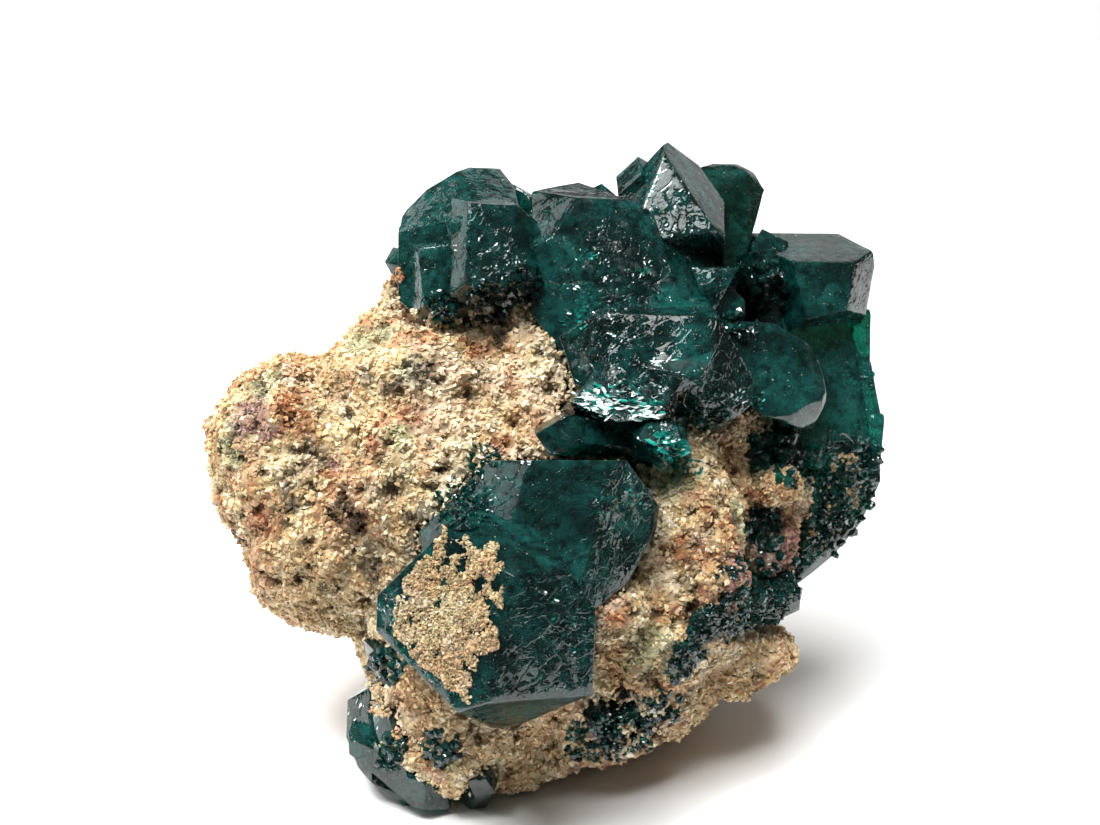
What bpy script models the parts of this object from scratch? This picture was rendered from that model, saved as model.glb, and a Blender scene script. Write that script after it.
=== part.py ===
"""A dioptase specimen: dark green crystals grown together on a lump of sandy rock.

Run it with blender --background --python part.py, or from Blender's text editor.
Units are metres, and +Z is up. The origin is under the middle of the specimen, on the surface that
it rests on. The specimen is described from its display side, which an eye sees from a little above:
a place on it is given in millimetres across, up and toward the eye, and placed() turns that into the
part's own frame. Everything is modelled in millimetres, and finish() brings it to metres.
"""

import math

import bmesh
import bpy
from mathutils import Matrix, Vector, noise

MM = 0.001

# The display side: how steeply the eye looks down on it, how far the eye stands from the middle,
# and where the middle is above the surface that the specimen rests on.
EYE_ELEVATION = math.radians(22)
EYE_DISTANCE = 105
VIEW_ORIGIN = Vector((-0.5, -0.7, 18.2))

# The usual crystal: a six-sided prism with a cap of three rhombohedral faces.
PRISM_SIDES = 6
CAP_FACES = 3
CAP_SLOPE = math.tan(math.radians(51))

# Gap between a crystal and the rock socket that it sits in.
SOCKET_GAP = 0.3

# Points nearer than this are one point, and faces that bend less than this are one face.
WELD = 0.002
FLAT_ANGLE = math.radians(0.4)

# The rock's surface: the grain that its lumps are blended at, the triangles that are kept of it,
# and the waves that roughen it, each as (times per mm, depth in mm).
ROCK_GRAIN = 0.55
ROCK_TRIANGLES = 5200
ROCK_WAVES = ((0.11, 1.5), (0.30, 0.75), (0.75, 0.38))
LUMP_SUBDIVISIONS = 3

# Larger than the specimen, for the block that stands for what is under it.
GROUND_SIZE = 100

LOOKS = {
    "dioptase": {"colour": (0.004, 0.075, 0.055, 1), "roughness": 0.12, "metallic": 0.0},
    "rock": {"colour": (0.56, 0.42, 0.27, 1), "roughness": 0.85, "metallic": 0.0},
}


def towards(across, up, toward):
    """A direction given on the display side, in the part's frame."""
    sine, cosine = math.sin(EYE_ELEVATION), math.cos(EYE_ELEVATION)
    return Vector((across, up * sine - toward * cosine, up * cosine + toward * sine))


def placed(across, up, toward):
    """A place given on the display side, in millimetres in the part's frame. Across and up are
    as they look from the eye, so they shrink as the place comes nearer to it."""
    nearness = 1 - toward / EYE_DISTANCE
    return VIEW_ORIGIN + towards(across * nearness, up * nearness, toward)


def clear_scene():
    for obj in list(bpy.data.objects):
        bpy.data.objects.remove(obj)


def new_collection(name):
    collection = bpy.data.collections.new(name)
    bpy.context.scene.collection.children.link(collection)
    return collection


def material(name):
    look = LOOKS[name]
    made = bpy.data.materials.get(name) or bpy.data.materials.new(name)
    made.use_nodes = True
    shader = made.node_tree.nodes["Principled BSDF"]
    shader.inputs["Base Color"].default_value = look["colour"]
    shader.inputs["Roughness"].default_value = look["roughness"]
    shader.inputs["Metallic"].default_value = look["metallic"]
    made.diffuse_color = look["colour"]
    return made


def object_from(bm, name, collection):
    """A new object from a bmesh. It stays in millimetres until finish() scales it."""
    bmesh.ops.recalc_face_normals(bm, faces=bm.faces)
    bmesh.ops.triangulate(bm, faces=bm.faces)
    mesh = bpy.data.meshes.new(name)
    bm.to_mesh(mesh)
    bm.free()
    made = bpy.data.objects.new(name, mesh)
    collection.objects.link(made)
    return made


def slice_off(bm, point, normal):
    """Cuts away what lies beyond a plane, and closes the cut."""
    geometry = bm.verts[:] + bm.edges[:] + bm.faces[:]
    cut = bmesh.ops.bisect_plane(bm, geom=geometry, plane_co=point, plane_no=normal, clear_outer=True)
    edges = [e for e in cut["geom_cut"] if isinstance(e, bmesh.types.BMEdge)]
    if edges:
        bmesh.ops.contextual_create(bm, geom=edges)


def prism_crystal(grow, tip, axis, radius, length, roll=0, flat=1.0):
    """A crystal of the usual form. Its axis points out of the rock to its tip, roll turns it about
    that axis in degrees, flat narrows it one way, and grow moves all its faces out."""
    bm = bmesh.new()
    wide = radius + grow / math.cos(math.pi / PRISM_SIDES)
    bmesh.ops.create_cone(
        bm, cap_ends=True, segments=PRISM_SIDES, radius1=wide, radius2=wide, depth=length + 2 * grow
    )
    bmesh.ops.translate(bm, verts=bm.verts, vec=(0, 0, -length / 2))
    lift = grow * math.sqrt(1 + CAP_SLOPE**2)
    for k in range(CAP_FACES):
        turn = math.pi / 2 + math.tau * k / CAP_FACES
        slope = Vector((CAP_SLOPE * math.cos(turn), CAP_SLOPE * math.sin(turn), 1))
        slice_off(bm, Vector((0, 0, lift)), slope)
    lean = towards(*axis).to_track_quat("Z", "Y").to_matrix().to_4x4()
    shape = Matrix.Rotation(math.radians(roll), 4, "Z") @ Matrix.Diagonal((1, flat, 1, 1))
    bmesh.ops.transform(bm, matrix=Matrix.Translation(placed(*tip)) @ lean @ shape, verts=bm.verts)
    return bm


def block_crystal(grow, centre, size, cuts):
    """A crystal of irregular growth: a block that is cut to its faces. Each cut is a face's
    outward direction and a place on it, and grow moves all the faces out."""
    bm = bmesh.new()
    bmesh.ops.create_cube(bm, size=size + 2 * grow)
    bmesh.ops.translate(bm, verts=bm.verts, vec=placed(*centre))
    for direction, place in cuts:
        normal = towards(*direction).normalized()
        slice_off(bm, placed(*place) + normal * grow, normal)
    return bm


# Crystals are listed as (kind, sizes). Places are across, up and toward the eye, in millimetres.
PRISM, BLOCK = prism_crystal, block_crystal

FRONT_PAIR = (
    # the nearer crystal, with its cap towards the eye and its left face crusted with sand
    (BLOCK, dict(centre=(-3.6, -9.0, 7.0), size=22, cuts=(
        ((0.10, 0.80, 0.60), (-1.9, -6.1, 14.3)),
        ((-0.50, 0.02, 0.86), (-1.9, -6.1, 14.3)),
        ((0.40, -0.18, 0.90), (-1.9, -6.1, 14.3)),
        ((0.16, -0.93, 0.33), (-0.5, -13.7, 12.2)),
        ((-0.67, -0.74, 0.02), (-7.0, -12.5, 9.5)),
        ((-0.68, 0.73, -0.05), (-8.7, -5.8, 9.0)),
        ((-1.0, 0.05, 0.0), (-10.3, -8.2, 9.0)),
        ((1.0, -0.02, -0.05), (2.9, -10.5, 10.0)),
        ((0.50, -0.86, 0.0), (0.6, -14.5, 10.0)),
        ((0.0, -1.0, 0.05), (-2.7, -15.7, 9.0)),
        ((0.80, 0.60, -0.1), (1.4, -6.2, 9.0)),
        ((0.0, 0.1, -1.0), (-3.6, -9.0, 0.5)),
    ))),
    # the upper crystal behind it
    (BLOCK, dict(centre=(0.0, -2.5, 4.0), size=19, cuts=(
        ((0.10, 0.12, 0.98), (-1.3, -0.4, 10.3)),
        ((-0.35, 0.25, 0.90), (-1.3, -0.4, 10.3)),
        ((-0.62, 0.36, 0.70), (-3.7, -0.4, 9.3)),
        ((0.72, -0.10, 0.69), (4.2, -0.5, 9.5)),
        ((0.0, 1.0, 0.0), (0.5, 1.1, 9.5)),
        ((-0.70, 0.71, 0.0), (-5.6, -1.2, 7.0)),
        ((0.78, 0.60, 0.0), (6.0, -0.3, 7.0)),
        ((1.0, -0.1, 0.0), (7.05, -2.2, 7.0)),
        ((0.86, -0.50, 0.0), (6.0, -4.8, 7.0)),
        ((0.58, -0.81, 0.0), (4.0, -7.2, 7.0)),
        ((-0.2, -0.97, 0.1), (0.0, -8.2, 6.0)),
        ((-0.97, -0.2, 0.1), (-7.8, -3.4, 6.0)),
        ((0.0, 0.0, -1.0), (0.0, -2.5, -1.5)),
    ))),
)

CROWN = (
    # the large rounded crystal at the upper left
    (BLOCK, dict(centre=(-5.2, 14.2, -3.0), size=14, cuts=(
        ((-0.35, 0.62, 0.70), (-6.6, 16.4, 0.6)),
        ((0.20, 0.80, 0.56), (-3.8, 17.6, 0.3)),
        ((0.0, 1.0, 0.05), (-4.0, 19.1, -3.0)),
        ((-0.52, 0.85, 0.0), (-6.5, 18.15, -2.0)),
        ((-0.72, 0.69, 0.0), (-8.3, 16.6, -2.0)),
        ((-1.0, 0.0, 0.0), (-8.95, 15.5, -1.0)),
        ((0.82, 0.57, 0.0), (-2.2, 18.4, -2.0)),
        ((0.97, 0.22, 0.0), (-1.7, 17.0, -2.0)),
        ((-0.30, -0.05, 0.95), (-7.0, 15.2, 1.1)),
        ((0.1, 0.1, 0.99), (-4.0, 15.4, 1.6)),
        ((-0.68, -0.73, 0.05), (-8.1, 10.1, 0.0)),
        ((0.45, -0.89, 0.05), (-5.2, 10.0, 0.0)),
        ((0.0, -0.1, -1.0), (-5.0, 15.0, -8.5)),
    ))),
    # the dark one on its right
    (BLOCK, dict(centre=(-2.8, 13.9, -0.5), size=12, cuts=(
        ((0.06, 0.96, 0.30), (-3.0, 16.95, 2.2)),
        ((0.02, 0.14, 0.99), (-3.0, 14.6, 2.9)),
        ((0.70, 0.28, 0.66), (-1.2, 14.2, 2.6)),
        ((-0.74, 0.12, 0.66), (-5.3, 14.6, 2.4)),
        ((0.60, 0.80, 0.0), (-0.9, 16.1, 1.0)),
        ((1.0, 0.1, 0.0), (-0.2, 14.6, 1.0)),
        ((0.97, -0.2, 0.1), (-0.4, 12.6, 1.0)),
        ((0.66, -0.75, 0.1), (-0.9, 11.5, 1.0)),
        ((0.05, -0.86, 0.5), (-2.4, 11.3, 2.2)),
        ((-1.0, 0.0, 0.0), (-5.7, 15.0, 0.0)),
        ((0.0, -0.2, -1.0), (-2.6, 13.8, -6.0)),
    ))),
    # the upright one below, with a narrow bright face
    (BLOCK, dict(centre=(-6.3, 12.0, -2.5), size=10, cuts=(
        ((-0.22, 0.06, 0.97), (-7.1, 12.5, 1.95)),
        ((-0.88, -0.05, 0.47), (-7.7, 12.5, 1.75)),
        ((0.30, 0.05, 0.95), (-6.6, 12.5, 2.0)),
        ((-0.08, 0.92, 0.38), (-7.0, 14.25, 1.8)),
        ((-0.55, -0.66, 0.51), (-7.9, 10.5, 1.3)),
        ((0.30, -0.84, 0.45), (-6.0, 10.1, 1.6)),
        ((0.94, 0.0, 0.34), (-3.9, 12.2, 1.0)),
        ((-1.0, 0.0, 0.0), (-8.95, 12.0, 0.0)),
        ((-0.68, -0.73, 0.0), (-8.1, 10.05, 0.0)),
        ((0.45, -0.89, 0.0), (-5.4, 9.7, 0.0)),
        ((0.0, 0.0, -1.0), (-6.3, 12.0, -6.5)),
    ))),
    (PRISM, dict(tip=(-9.4, 14.3, -1.5), axis=(-0.45, 0.85, 0.2), radius=0.95, length=5, roll=40)),
    (PRISM, dict(tip=(-5.4, 16.25, 2.3), axis=(0.0, 0.72, 0.69), radius=0.8, length=5, roll=30)),
    # the large middle crystal
    (BLOCK, dict(centre=(4.0, 12.5, -2.0), size=18, cuts=(
        ((-0.45, 0.55, 0.70), (2.1, 17.3, 1.6)),
        ((0.05, 0.96, 0.28), (2.1, 17.3, 1.6)),
        ((0.12, 0.28, 0.95), (2.1, 17.3, 1.6)),
        ((0.58, 0.35, 0.74), (7.6, 13.2, 2.15)),
        ((-0.26, -0.12, 0.96), (0.6, 13.8, 2.5)),
        ((-0.46, 0.89, 0.0), (-0.6, 17.75, -1.0)),
        ((-1.0, 0.02, 0.05), (-0.9, 11.6, 0.0)),
        ((0.46, 0.88, 0.1), (8.6, 15.3, 0.0)),
        ((0.95, 0.30, 0.0), (10.6, 13.2, 0.0)),
        ((0.65, -0.75, 0.05), (9.6, 11.0, 0.0)),
        ((-0.80, -0.60, 0.1), (-0.2, 8.9, 0.0)),
        ((0.0, -1.0, 0.0), (3.0, 6.0, 0.0)),
        ((0.0, 0.1, -1.0), (4.0, 12.5, -7.5)),
    ))),
    (PRISM, dict(tip=(-2.0, 18.15, -3.4), axis=(-0.35, 0.86, 0.35), radius=2.0, length=9, roll=10)),
    # the top crystal, its largest face bright
    (BLOCK, dict(centre=(8.0, 15.5, -3.0), size=14, cuts=(
        ((-0.14, 0.22, 0.965), (7.6, 18.0, 1.0)),
        ((0.66, 0.56, 0.50), (8.1, 18.9, 0.9)),
        ((-0.80, 0.40, 0.45), (6.7, 18.3, 0.8)),
        ((-0.70, 0.71, 0.0), (6.8, 20.0, -1.0)),
        ((0.50, 0.87, 0.0), (8.3, 20.35, -1.0)),
        ((0.84, 0.54, 0.0), (10.3, 18.4, -1.5)),
        ((1.0, 0.0, 0.1), (11.05, 16.8, -2.0)),
        ((0.1, -0.86, 0.5), (8.5, 13.6, 0.0)),
        ((-1.0, -0.1, 0.0), (5.2, 17.0, -2.0)),
        ((0.0, 0.0, -1.0), (8.0, 15.0, -8.0)),
    ))),
    (PRISM, dict(tip=(5.75, 19.85, -1.6), axis=(-0.12, 0.97, 0.2), radius=1.75, length=9, roll=25)),
    (PRISM, dict(tip=(3.5, 18.2, -5.5), axis=(0.1, 0.99, 0.0), radius=1.3, length=8, roll=0)),
    # the rounded one behind, on the right
    (BLOCK, dict(centre=(11.5, 15.8, -8.0), size=12, cuts=(
        ((0.0, 1.0, 0.1), (11.2, 19.4, -6.5)),
        ((0.50, 0.86, 0.0), (12.7, 18.95, -6.5)),
        ((0.86, 0.51, 0.0), (13.3, 18.2, -6.5)),
        ((0.95, -0.30, 0.0), (13.3, 17.0, -6.5)),
        ((-0.4, 0.91, 0.0), (9.9, 19.2, -6.5)),
        ((0.15, 0.15, 0.97), (11.5, 17.0, -4.5)),
        ((0.75, 0.10, 0.65), (12.9, 17.0, -5.3)),
        ((0.0, 0.62, 0.78), (11.5, 18.6, -5.2)),
        ((-1.0, 0.0, 0.0), (9.0, 16.0, -8.0)),
        ((0.0, 0.2, -1.0), (11.0, 16.0, -11.5)),
    ))),
    # the blocky one at the right end
    (BLOCK, dict(centre=(16.4, 11.2, -8.0), size=15, cuts=(
        ((0.02, 0.88, 0.47), (17.6, 13.3, -3.2)),
        ((0.02, 0.06, 0.99), (17.0, 12.0, -3.1)),
        ((0.83, -0.10, 0.55), (19.1, 13.2, -3.3)),
        ((0.0, 1.0, 0.0), (16.0, 15.3, -6.5)),
        ((0.66, 0.75, 0.0), (19.4, 14.5, -6.0)),
        ((0.97, 0.22, 0.0), (20.3, 13.3, -6.0)),
        ((0.98, -0.20, 0.0), (20.0, 11.4, -6.0)),
        ((0.25, -0.95, 0.2), (18.8, 10.3, -3.6)),
        ((-0.75, 0.45, 0.48), (14.4, 14.5, -4.5)),
        ((-0.80, -0.15, 0.58), (14.6, 11.0, -4.5)),
        ((0.0, 0.0, -1.0), (16.0, 11.0, -12.0)),
    ))),
    (PRISM, dict(tip=(13.4, 15.4, -5.6), axis=(-0.1, 0.98, 0.1), radius=1.6, length=8, roll=5)),
    (PRISM, dict(tip=(13.0, 14.0, -2.6), axis=(-0.2, 0.55, 0.81), radius=1.5, length=7, roll=20)),
    # the flat rounded one in front of the right hollow
    (BLOCK, dict(centre=(13.5, 6.0, -2.5), size=12, cuts=(
        ((-0.02, 0.08, 1.0), (14.5, 6.0, 1.2)),
        ((0.25, 0.62, 0.74), (14.4, 8.8, 0.9)),
        ((0.70, 0.25, 0.66), (16.7, 6.6, 0.7)),
        ((0.45, -0.60, 0.66), (15.8, 3.7, 0.8)),
        ((0.05, 1.0, 0.0), (13.0, 9.55, 0.0)),
        ((0.50, 0.86, 0.0), (15.3, 8.8, 0.0)),
        ((0.80, 0.60, 0.0), (16.6, 7.6, 0.0)),
        ((0.98, 0.18, 0.0), (17.3, 5.6, 0.0)),
        ((0.93, -0.36, 0.0), (17.1, 4.0, 0.0)),
        ((0.35, -0.94, 0.0), (16.1, 2.9, 0.0)),
        ((-0.30, -0.95, 0.0), (14.2, 3.5, 0.0)),
        ((-0.80, -0.60, 0.1), (12.6, 4.4, 0.0)),
        ((0.1, 0.0, -1.0), (14.0, 6.0, -5.0)),
    ))),
    # small faces between the middle crystal and the round one
    (BLOCK, dict(centre=(10.4, 11.6, -1.0), size=5, cuts=(
        ((-0.12, 0.20, 0.97), (9.9, 12.0, 1.5)),
        ((0.0, 1.0, 0.2), (10.5, 13.0, 1.0)),
        ((-1.0, -0.3, 0.1), (9.35, 11.8, 1.0)),
        ((0.86, -0.50, 0.1), (11.0, 11.2, 1.0)),
        ((0.2, -0.95, 0.2), (10.2, 9.8, 1.0)),
    ))),
    (BLOCK, dict(centre=(11.6, 10.6, -1.5), size=4.6, cuts=(
        ((0.10, 0.22, 0.97), (11.6, 10.8, 0.9)),
        ((0.72, 0.69, 0.1), (11.9, 11.4, 0.5)),
        ((1.0, -0.1, 0.1), (12.3, 10.4, 0.5)),
        ((0.0, -1.0, 0.2), (11.7, 9.4, 0.5)),
        ((-0.84, 0.54, 0.1), (10.8, 11.4, 0.5)),
    ))),
    # the dark lower mass
    (BLOCK, dict(centre=(6.0, 7.0, 1.0), size=15, cuts=(
        ((-0.10, 0.20, 0.97), (6.5, 8.6, 5.6)),
        ((0.25, -0.35, 0.90), (8.0, 6.5, 5.8)),
        ((-0.45, 0.10, 0.89), (3.0, 8.0, 5.2)),
        ((0.0, 0.93, 0.36), (8.2, 10.5, 4.0)),
        ((-0.55, 0.83, 0.05), (2.2, 9.6, 3.0)),
        ((-0.95, -0.30, 0.0), (1.4, 7.0, 3.0)),
        ((0.86, 0.50, 0.1), (11.0, 9.3, 2.0)),
        ((0.70, -0.20, 0.69), (11.0, 6.5, 4.6)),
        ((-0.40, -0.90, 0.15), (2.4, 5.1, 3.0)),
        ((0.15, -0.80, 0.58), (5.0, 4.9, 5.8)),
        ((0.60, -0.80, 0.0), (11.0, 3.2, 2.0)),
        ((0.0, 0.0, -1.0), (6.0, 7.0, -4.0)),
    ))),
    (PRISM, dict(tip=(3.3, 9.9, 5.6), axis=(-0.25, 0.65, 0.72), radius=1.9, length=8, roll=0)),
    (PRISM, dict(tip=(9.6, 6.2, 7.0), axis=(0.25, -0.10, 0.96), radius=2.9, length=9, roll=15)),
    # the stepped bright shelf, and the dark wedge under it
    (BLOCK, dict(centre=(4.6, 4.0, 2.0), size=10, cuts=(
        ((-0.05, 0.45, 0.89), (4.6, 4.4, 6.6)),
        ((-0.45, -0.86, 0.2), (2.4, 3.9, 5.0)),
        ((0.1, -0.97, 0.2), (5.0, 3.2, 6.0)),
        ((0.85, -0.30, 0.4), (7.6, 3.8, 6.0)),
        ((-0.80, 0.60, 0.1), (2.0, 5.3, 5.0)),
        ((0.0, 0.0, -1.0), (4.6, 4.0, -1.0)),
    ))),
    (PRISM, dict(tip=(-0.6, 2.7, 6.6), axis=(-0.80, 0.05, 0.60), radius=1.8, length=11, roll=30,
                 flat=0.85)),
    (PRISM, dict(tip=(7.3, 1.7, 8.0), axis=(0.15, -0.30, 0.92), radius=1.5, length=7, roll=10)),
    (PRISM, dict(tip=(8.9, 1.6, 6.4), axis=(0.60, -0.30, 0.74), radius=1.25, length=7, roll=50)),
    # the green wall down the right side
    (BLOCK, dict(centre=(17.6, 5.8, -9.0), size=13, cuts=(
        ((0.30, 0.16, 0.94), (18.0, 6.0, -5.0)),
        ((0.80, 0.12, 0.58), (19.3, 6.0, -5.6)),
        ((1.0, 0.05, 0.0), (19.8, 8.8, -6.5)),
        ((0.93, 0.36, 0.0), (20.2, 5.4, -6.5)),
        ((0.99, -0.10, 0.0), (20.7, 3.4, -6.5)),
        ((0.10, -0.97, 0.2), (18.5, 1.9, -5.4)),
        ((-0.95, -0.1, 0.3), (14.5, 5.0, -6.0)),
        ((0.0, 1.0, 0.1), (18.0, 10.8, -7.0)),
        ((0.0, 0.0, -1.0), (17.0, 5.0, -12.0)),
    ))),
    (BLOCK, dict(centre=(17.6, -0.6, -8.5), size=10, cuts=(
        ((0.72, -0.15, 0.67), (19.5, 0.0, -5.8)),
        ((0.18, -0.20, 0.96), (17.6, -0.6, -5.0)),
        ((0.62, -0.62, 0.48), (18.6, -3.2, -5.8)),
        ((1.0, 0.02, 0.0), (20.8, 1.0, -7.0)),
        ((0.88, -0.47, 0.0), (20.3, -1.2, -7.0)),
        ((0.80, -0.60, 0.0), (19.1, -3.2, -7.0)),
        ((0.60, -0.80, 0.0), (17.7, -4.9, -7.0)),
        ((0.2, 1.0, 0.0), (19.0, 2.7, -8.0)),
        ((-0.9, 0.1, 0.3), (15.6, -1.0, -7.0)),
        ((0.0, 0.0, -1.0), (18.0, -1.0, -11.5)),
    ))),
    (PRISM, dict(tip=(17.0, 1.6, -3.2), axis=(0.20, -0.20, 0.96), radius=1.6, length=6, roll=20)),
    # the dark ones in the right hollow
    (PRISM, dict(tip=(14.9, 2.0, -1.6), axis=(0.10, 0.10, 0.98), radius=1.7, length=8, roll=15)),
    (PRISM, dict(tip=(12.9, 1.8, -1.2), axis=(-0.15, 0.10, 0.98), radius=1.3, length=7, roll=45)),
    # crystals that carry the crown over to the back
    (PRISM, dict(tip=(-3.6, 16.0, -10.0), axis=(-0.30, 0.62, -0.72), radius=2.4, length=9, roll=30)),
    (PRISM, dict(tip=(1.8, 16.6, -10.8), axis=(-0.05, 0.66, -0.75), radius=2.7, length=10, roll=10)),
    (PRISM, dict(tip=(7.0, 17.0, -11.6), axis=(0.10, 0.66, -0.75), radius=2.9, length=11, roll=45,
                 flat=0.85)),
    (PRISM, dict(tip=(14.8, 12.6, -14.2), axis=(0.30, 0.45, -0.84), radius=2.7, length=10, roll=25)),
    (PRISM, dict(tip=(9.8, 11.6, -14.4), axis=(0.05, 0.36, -0.93), radius=2.5, length=10, roll=5)),
    (PRISM, dict(tip=(18.0, 6.0, -14.0), axis=(0.50, 0.15, -0.85), radius=2.4, length=9, roll=35)),
)

LOWER_LEFT = (
    # the rim at the far left, the upright one beside it, and the one along the bottom edge
    (BLOCK, dict(centre=(-10.0, -15.4, -1.5), size=8, cuts=(
        ((-1.0, 0.04, 0.0), (-12.15, -14.8, -1.0)),
        ((-0.90, -0.43, 0.0), (-11.95, -16.4, -1.0)),
        ((-0.62, -0.78, 0.0), (-11.0, -17.9, -1.0)),
        ((-0.55, 0.84, 0.0), (-11.6, -13.3, -1.0)),
        ((-0.70, 0.05, 0.71), (-11.4, -15.2, 0.6)),
        ((0.25, 0.1, 0.96), (-10.6, -15.2, 1.3)),
        ((0.95, 0.3, 0.0), (-8.8, -15.0, -1.0)),
        ((0.1, 0.1, -1.0), (-10.0, -15.0, -4.5)),
    ))),
    (PRISM, dict(tip=(-9.9, -13.4, 2.4), axis=(-0.28, 0.95, 0.12), radius=1.25, length=5.0, roll=15)),
    (BLOCK, dict(centre=(-8.4, -18.4, 0.5), size=7, cuts=(
        ((-0.62, -0.78, 0.0), (-9.3, -19.1, 1.5)),
        ((-0.12, -0.99, 0.0), (-6.8, -20.3, 1.5)),
        ((0.50, 0.85, 0.15), (-8.4, -17.7, 2.0)),
        ((-0.30, -0.20, 0.93), (-8.4, -18.7, 3.0)),
        ((0.45, -0.25, 0.86), (-6.9, -19.2, 3.0)),
        ((1.0, 0.1, 0.0), (-5.9, -19.4, 1.5)),
        ((0.1, 0.1, -1.0), (-8.4, -18.0, -2.5)),
    ))),
)

FOOT_CRYSTAL = (
    (PRISM, dict(tip=(-3.7, -18.4, 3.6), axis=(0.20, 0.50, 0.84), radius=1.0, length=4.0, roll=25)),
)

LOBE_CRYSTAL = (
    (PRISM, dict(tip=(-10.4, -10.8, 3.0), axis=(-0.35, 0.15, 0.92), radius=1.7, length=6, roll=10)),
)

RIGHT_BAND = (
    (PRISM, dict(tip=(15.8, -6.9, -2.6), axis=(0.80, 0.30, 0.52), radius=1.5, length=9, roll=20)),
    (PRISM, dict(tip=(13.4, -7.6, 0.2), axis=(0.30, 0.05, 0.95), radius=1.5, length=8, roll=0)),
    (PRISM, dict(tip=(11.2, -8.6, 1.8), axis=(0.10, -0.15, 0.98), radius=1.6, length=8, roll=40)),
    (PRISM, dict(tip=(9.5, -10.7, 3.0), axis=(0.15, -0.20, 0.97), radius=1.4, length=8, roll=30)),
)

BOTTOM_DRUSE = (
    (PRISM, dict(tip=(3.1, -15.2, 3.6), axis=(-0.20, -0.25, 0.95), radius=1.0, length=5, roll=10)),
    (PRISM, dict(tip=(4.5, -16.1, 3.0), axis=(0.10, -0.50, 0.86), radius=1.1, length=5, roll=40)),
    (PRISM, dict(tip=(5.4, -14.9, 3.4), axis=(0.20, -0.15, 0.97), radius=1.0, length=5, roll=25)),
    (PRISM, dict(tip=(6.7, -15.2, 3.0), axis=(0.30, -0.35, 0.88), radius=1.1, length=5, roll=0)),
)

BACK_CRYSTALS = (
    (PRISM, dict(tip=(-6.6, 6.4, -13.2), axis=(-0.25, 0.45, -0.86), radius=2.3, length=7, roll=20)),
    (PRISM, dict(tip=(-10.0, 4.2, -11.8), axis=(-0.55, 0.30, -0.78), radius=1.8, length=7, roll=50)),
    (PRISM, dict(tip=(-3.6, 3.4, -14.6), axis=(0.05, 0.10, -0.99), radius=1.7, length=6, roll=0)),
)

# In this order, a cluster gives way to the ones before it where they meet.
CLUSTERS = {
    "crystals_front_pair": FRONT_PAIR,
    "crystals_crown": CROWN,
    "crystals_lower_left": LOWER_LEFT,
    "crystals_right_band": RIGHT_BAND,
    "crystals_bottom_druse": BOTTOM_DRUSE,
    "crystals_back": BACK_CRYSTALS,
    "crystal_foot": FOOT_CRYSTAL,
    "crystal_under_lobe": LOBE_CRYSTAL,
}

# The rock's lumps: centre, then radii, both across, up and toward the eye.
LUMPS = (
    ((-15.6, 0.4, -2.0), (5.3, 7.0, 6.5)),
    ((-13.6, -3.8, -1.5), (5.6, 5.8, 6.0)),
    ((-7.5, -1.0, -3.0), (8.5, 8.5, 8.0)),
    ((-7.5, 5.6, -2.5), (6.0, 4.4, 6.0)),
    ((-10.4, 8.9, -2.0), (1.5, 1.5, 2.4)),
    ((-9.0, 11.4, -2.4), (0.95, 2.0, 2.2)),
    ((2.0, 2.5, -5.0), (12.5, 11.5, 8.0)),
    ((-3.0, -9.5, -1.0), (8.0, 7.0, 7.5)),
    ((8.6, -3.6, 0.6), (4.0, 7.0, 5.4)),
    ((6.0, -9.0, 0.0), (5.0, 5.0, 5.5)),
    ((-4.7, -14.6, -2.6), (6.3, 5.3, 7.0)),
    ((-2.0, -16.2, -5.0), (7.0, 4.6, 7.0)),
    ((4.0, -13.0, -4.0), (6.5, 6.0, 8.0)),
    ((11.0, -11.2, -5.0), (4.9, 3.3, 5.6)),
    ((3.0, -6.0, -9.0), (12.0, 10.0, 6.0)),
    ((13.0, -0.5, -8.5), (4.0, 7.0, 4.0)),
    ((13.2, -4.6, -4.6), (3.0, 3.2, 2.8)),
    ((3.0, -14.5, -8.5), (7.0, 4.0, 5.0)),
    ((4.2, -8.2, 6.0), (1.9, 1.9, 2.6)),
    ((14.2, -0.6, -1.6), (1.6, 0.9, 2.4)),
)

# The underside rises to the right along these planes, outward direction and a place on each.
UNDERSIDE = (
    ((0.29, -0.957, 0.0), (2.0, -17.6, -3.0)),
    ((0.42, -0.907, 0.0), (10.0, -14.4, -6.0)),
)


def combined(base, others, operation, name, collection):
    """The base with the others joined to it or cut out of it, all at once."""
    group = new_collection(f"{name}_operands")
    for other in others:
        group.objects.link(other)
    step = base.modifiers.new(operation, "BOOLEAN")
    step.operation = operation
    step.operand_type = "COLLECTION"
    step.collection = group
    step.solver = "EXACT"
    made = settled(base, name, collection)
    bpy.data.collections.remove(group)
    return made


def settled(obj, name, collection):
    """The object with its modifiers worked into its mesh, in place of the original."""
    bpy.context.view_layer.update()
    graph = bpy.context.evaluated_depsgraph_get()
    mesh = bpy.data.meshes.new_from_object(obj.evaluated_get(graph))
    bpy.data.objects.remove(obj)
    made = bpy.data.objects.new(name, mesh)
    mesh.name = name
    collection.objects.link(made)
    return made


def crystals(name, members, collection, grow=0.0):
    """One solid from a cluster's crystals, which overlap."""
    bodies = [kind(grow, **sizes) for kind, sizes in members]
    first, *others = [object_from(bm, f"{name}.{k}", collection) for k, bm in enumerate(bodies)]
    made = combined(first, others, "UNION", name, collection)
    for other in others:
        bpy.data.objects.remove(other)
    clean_up(made)
    return made


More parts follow.
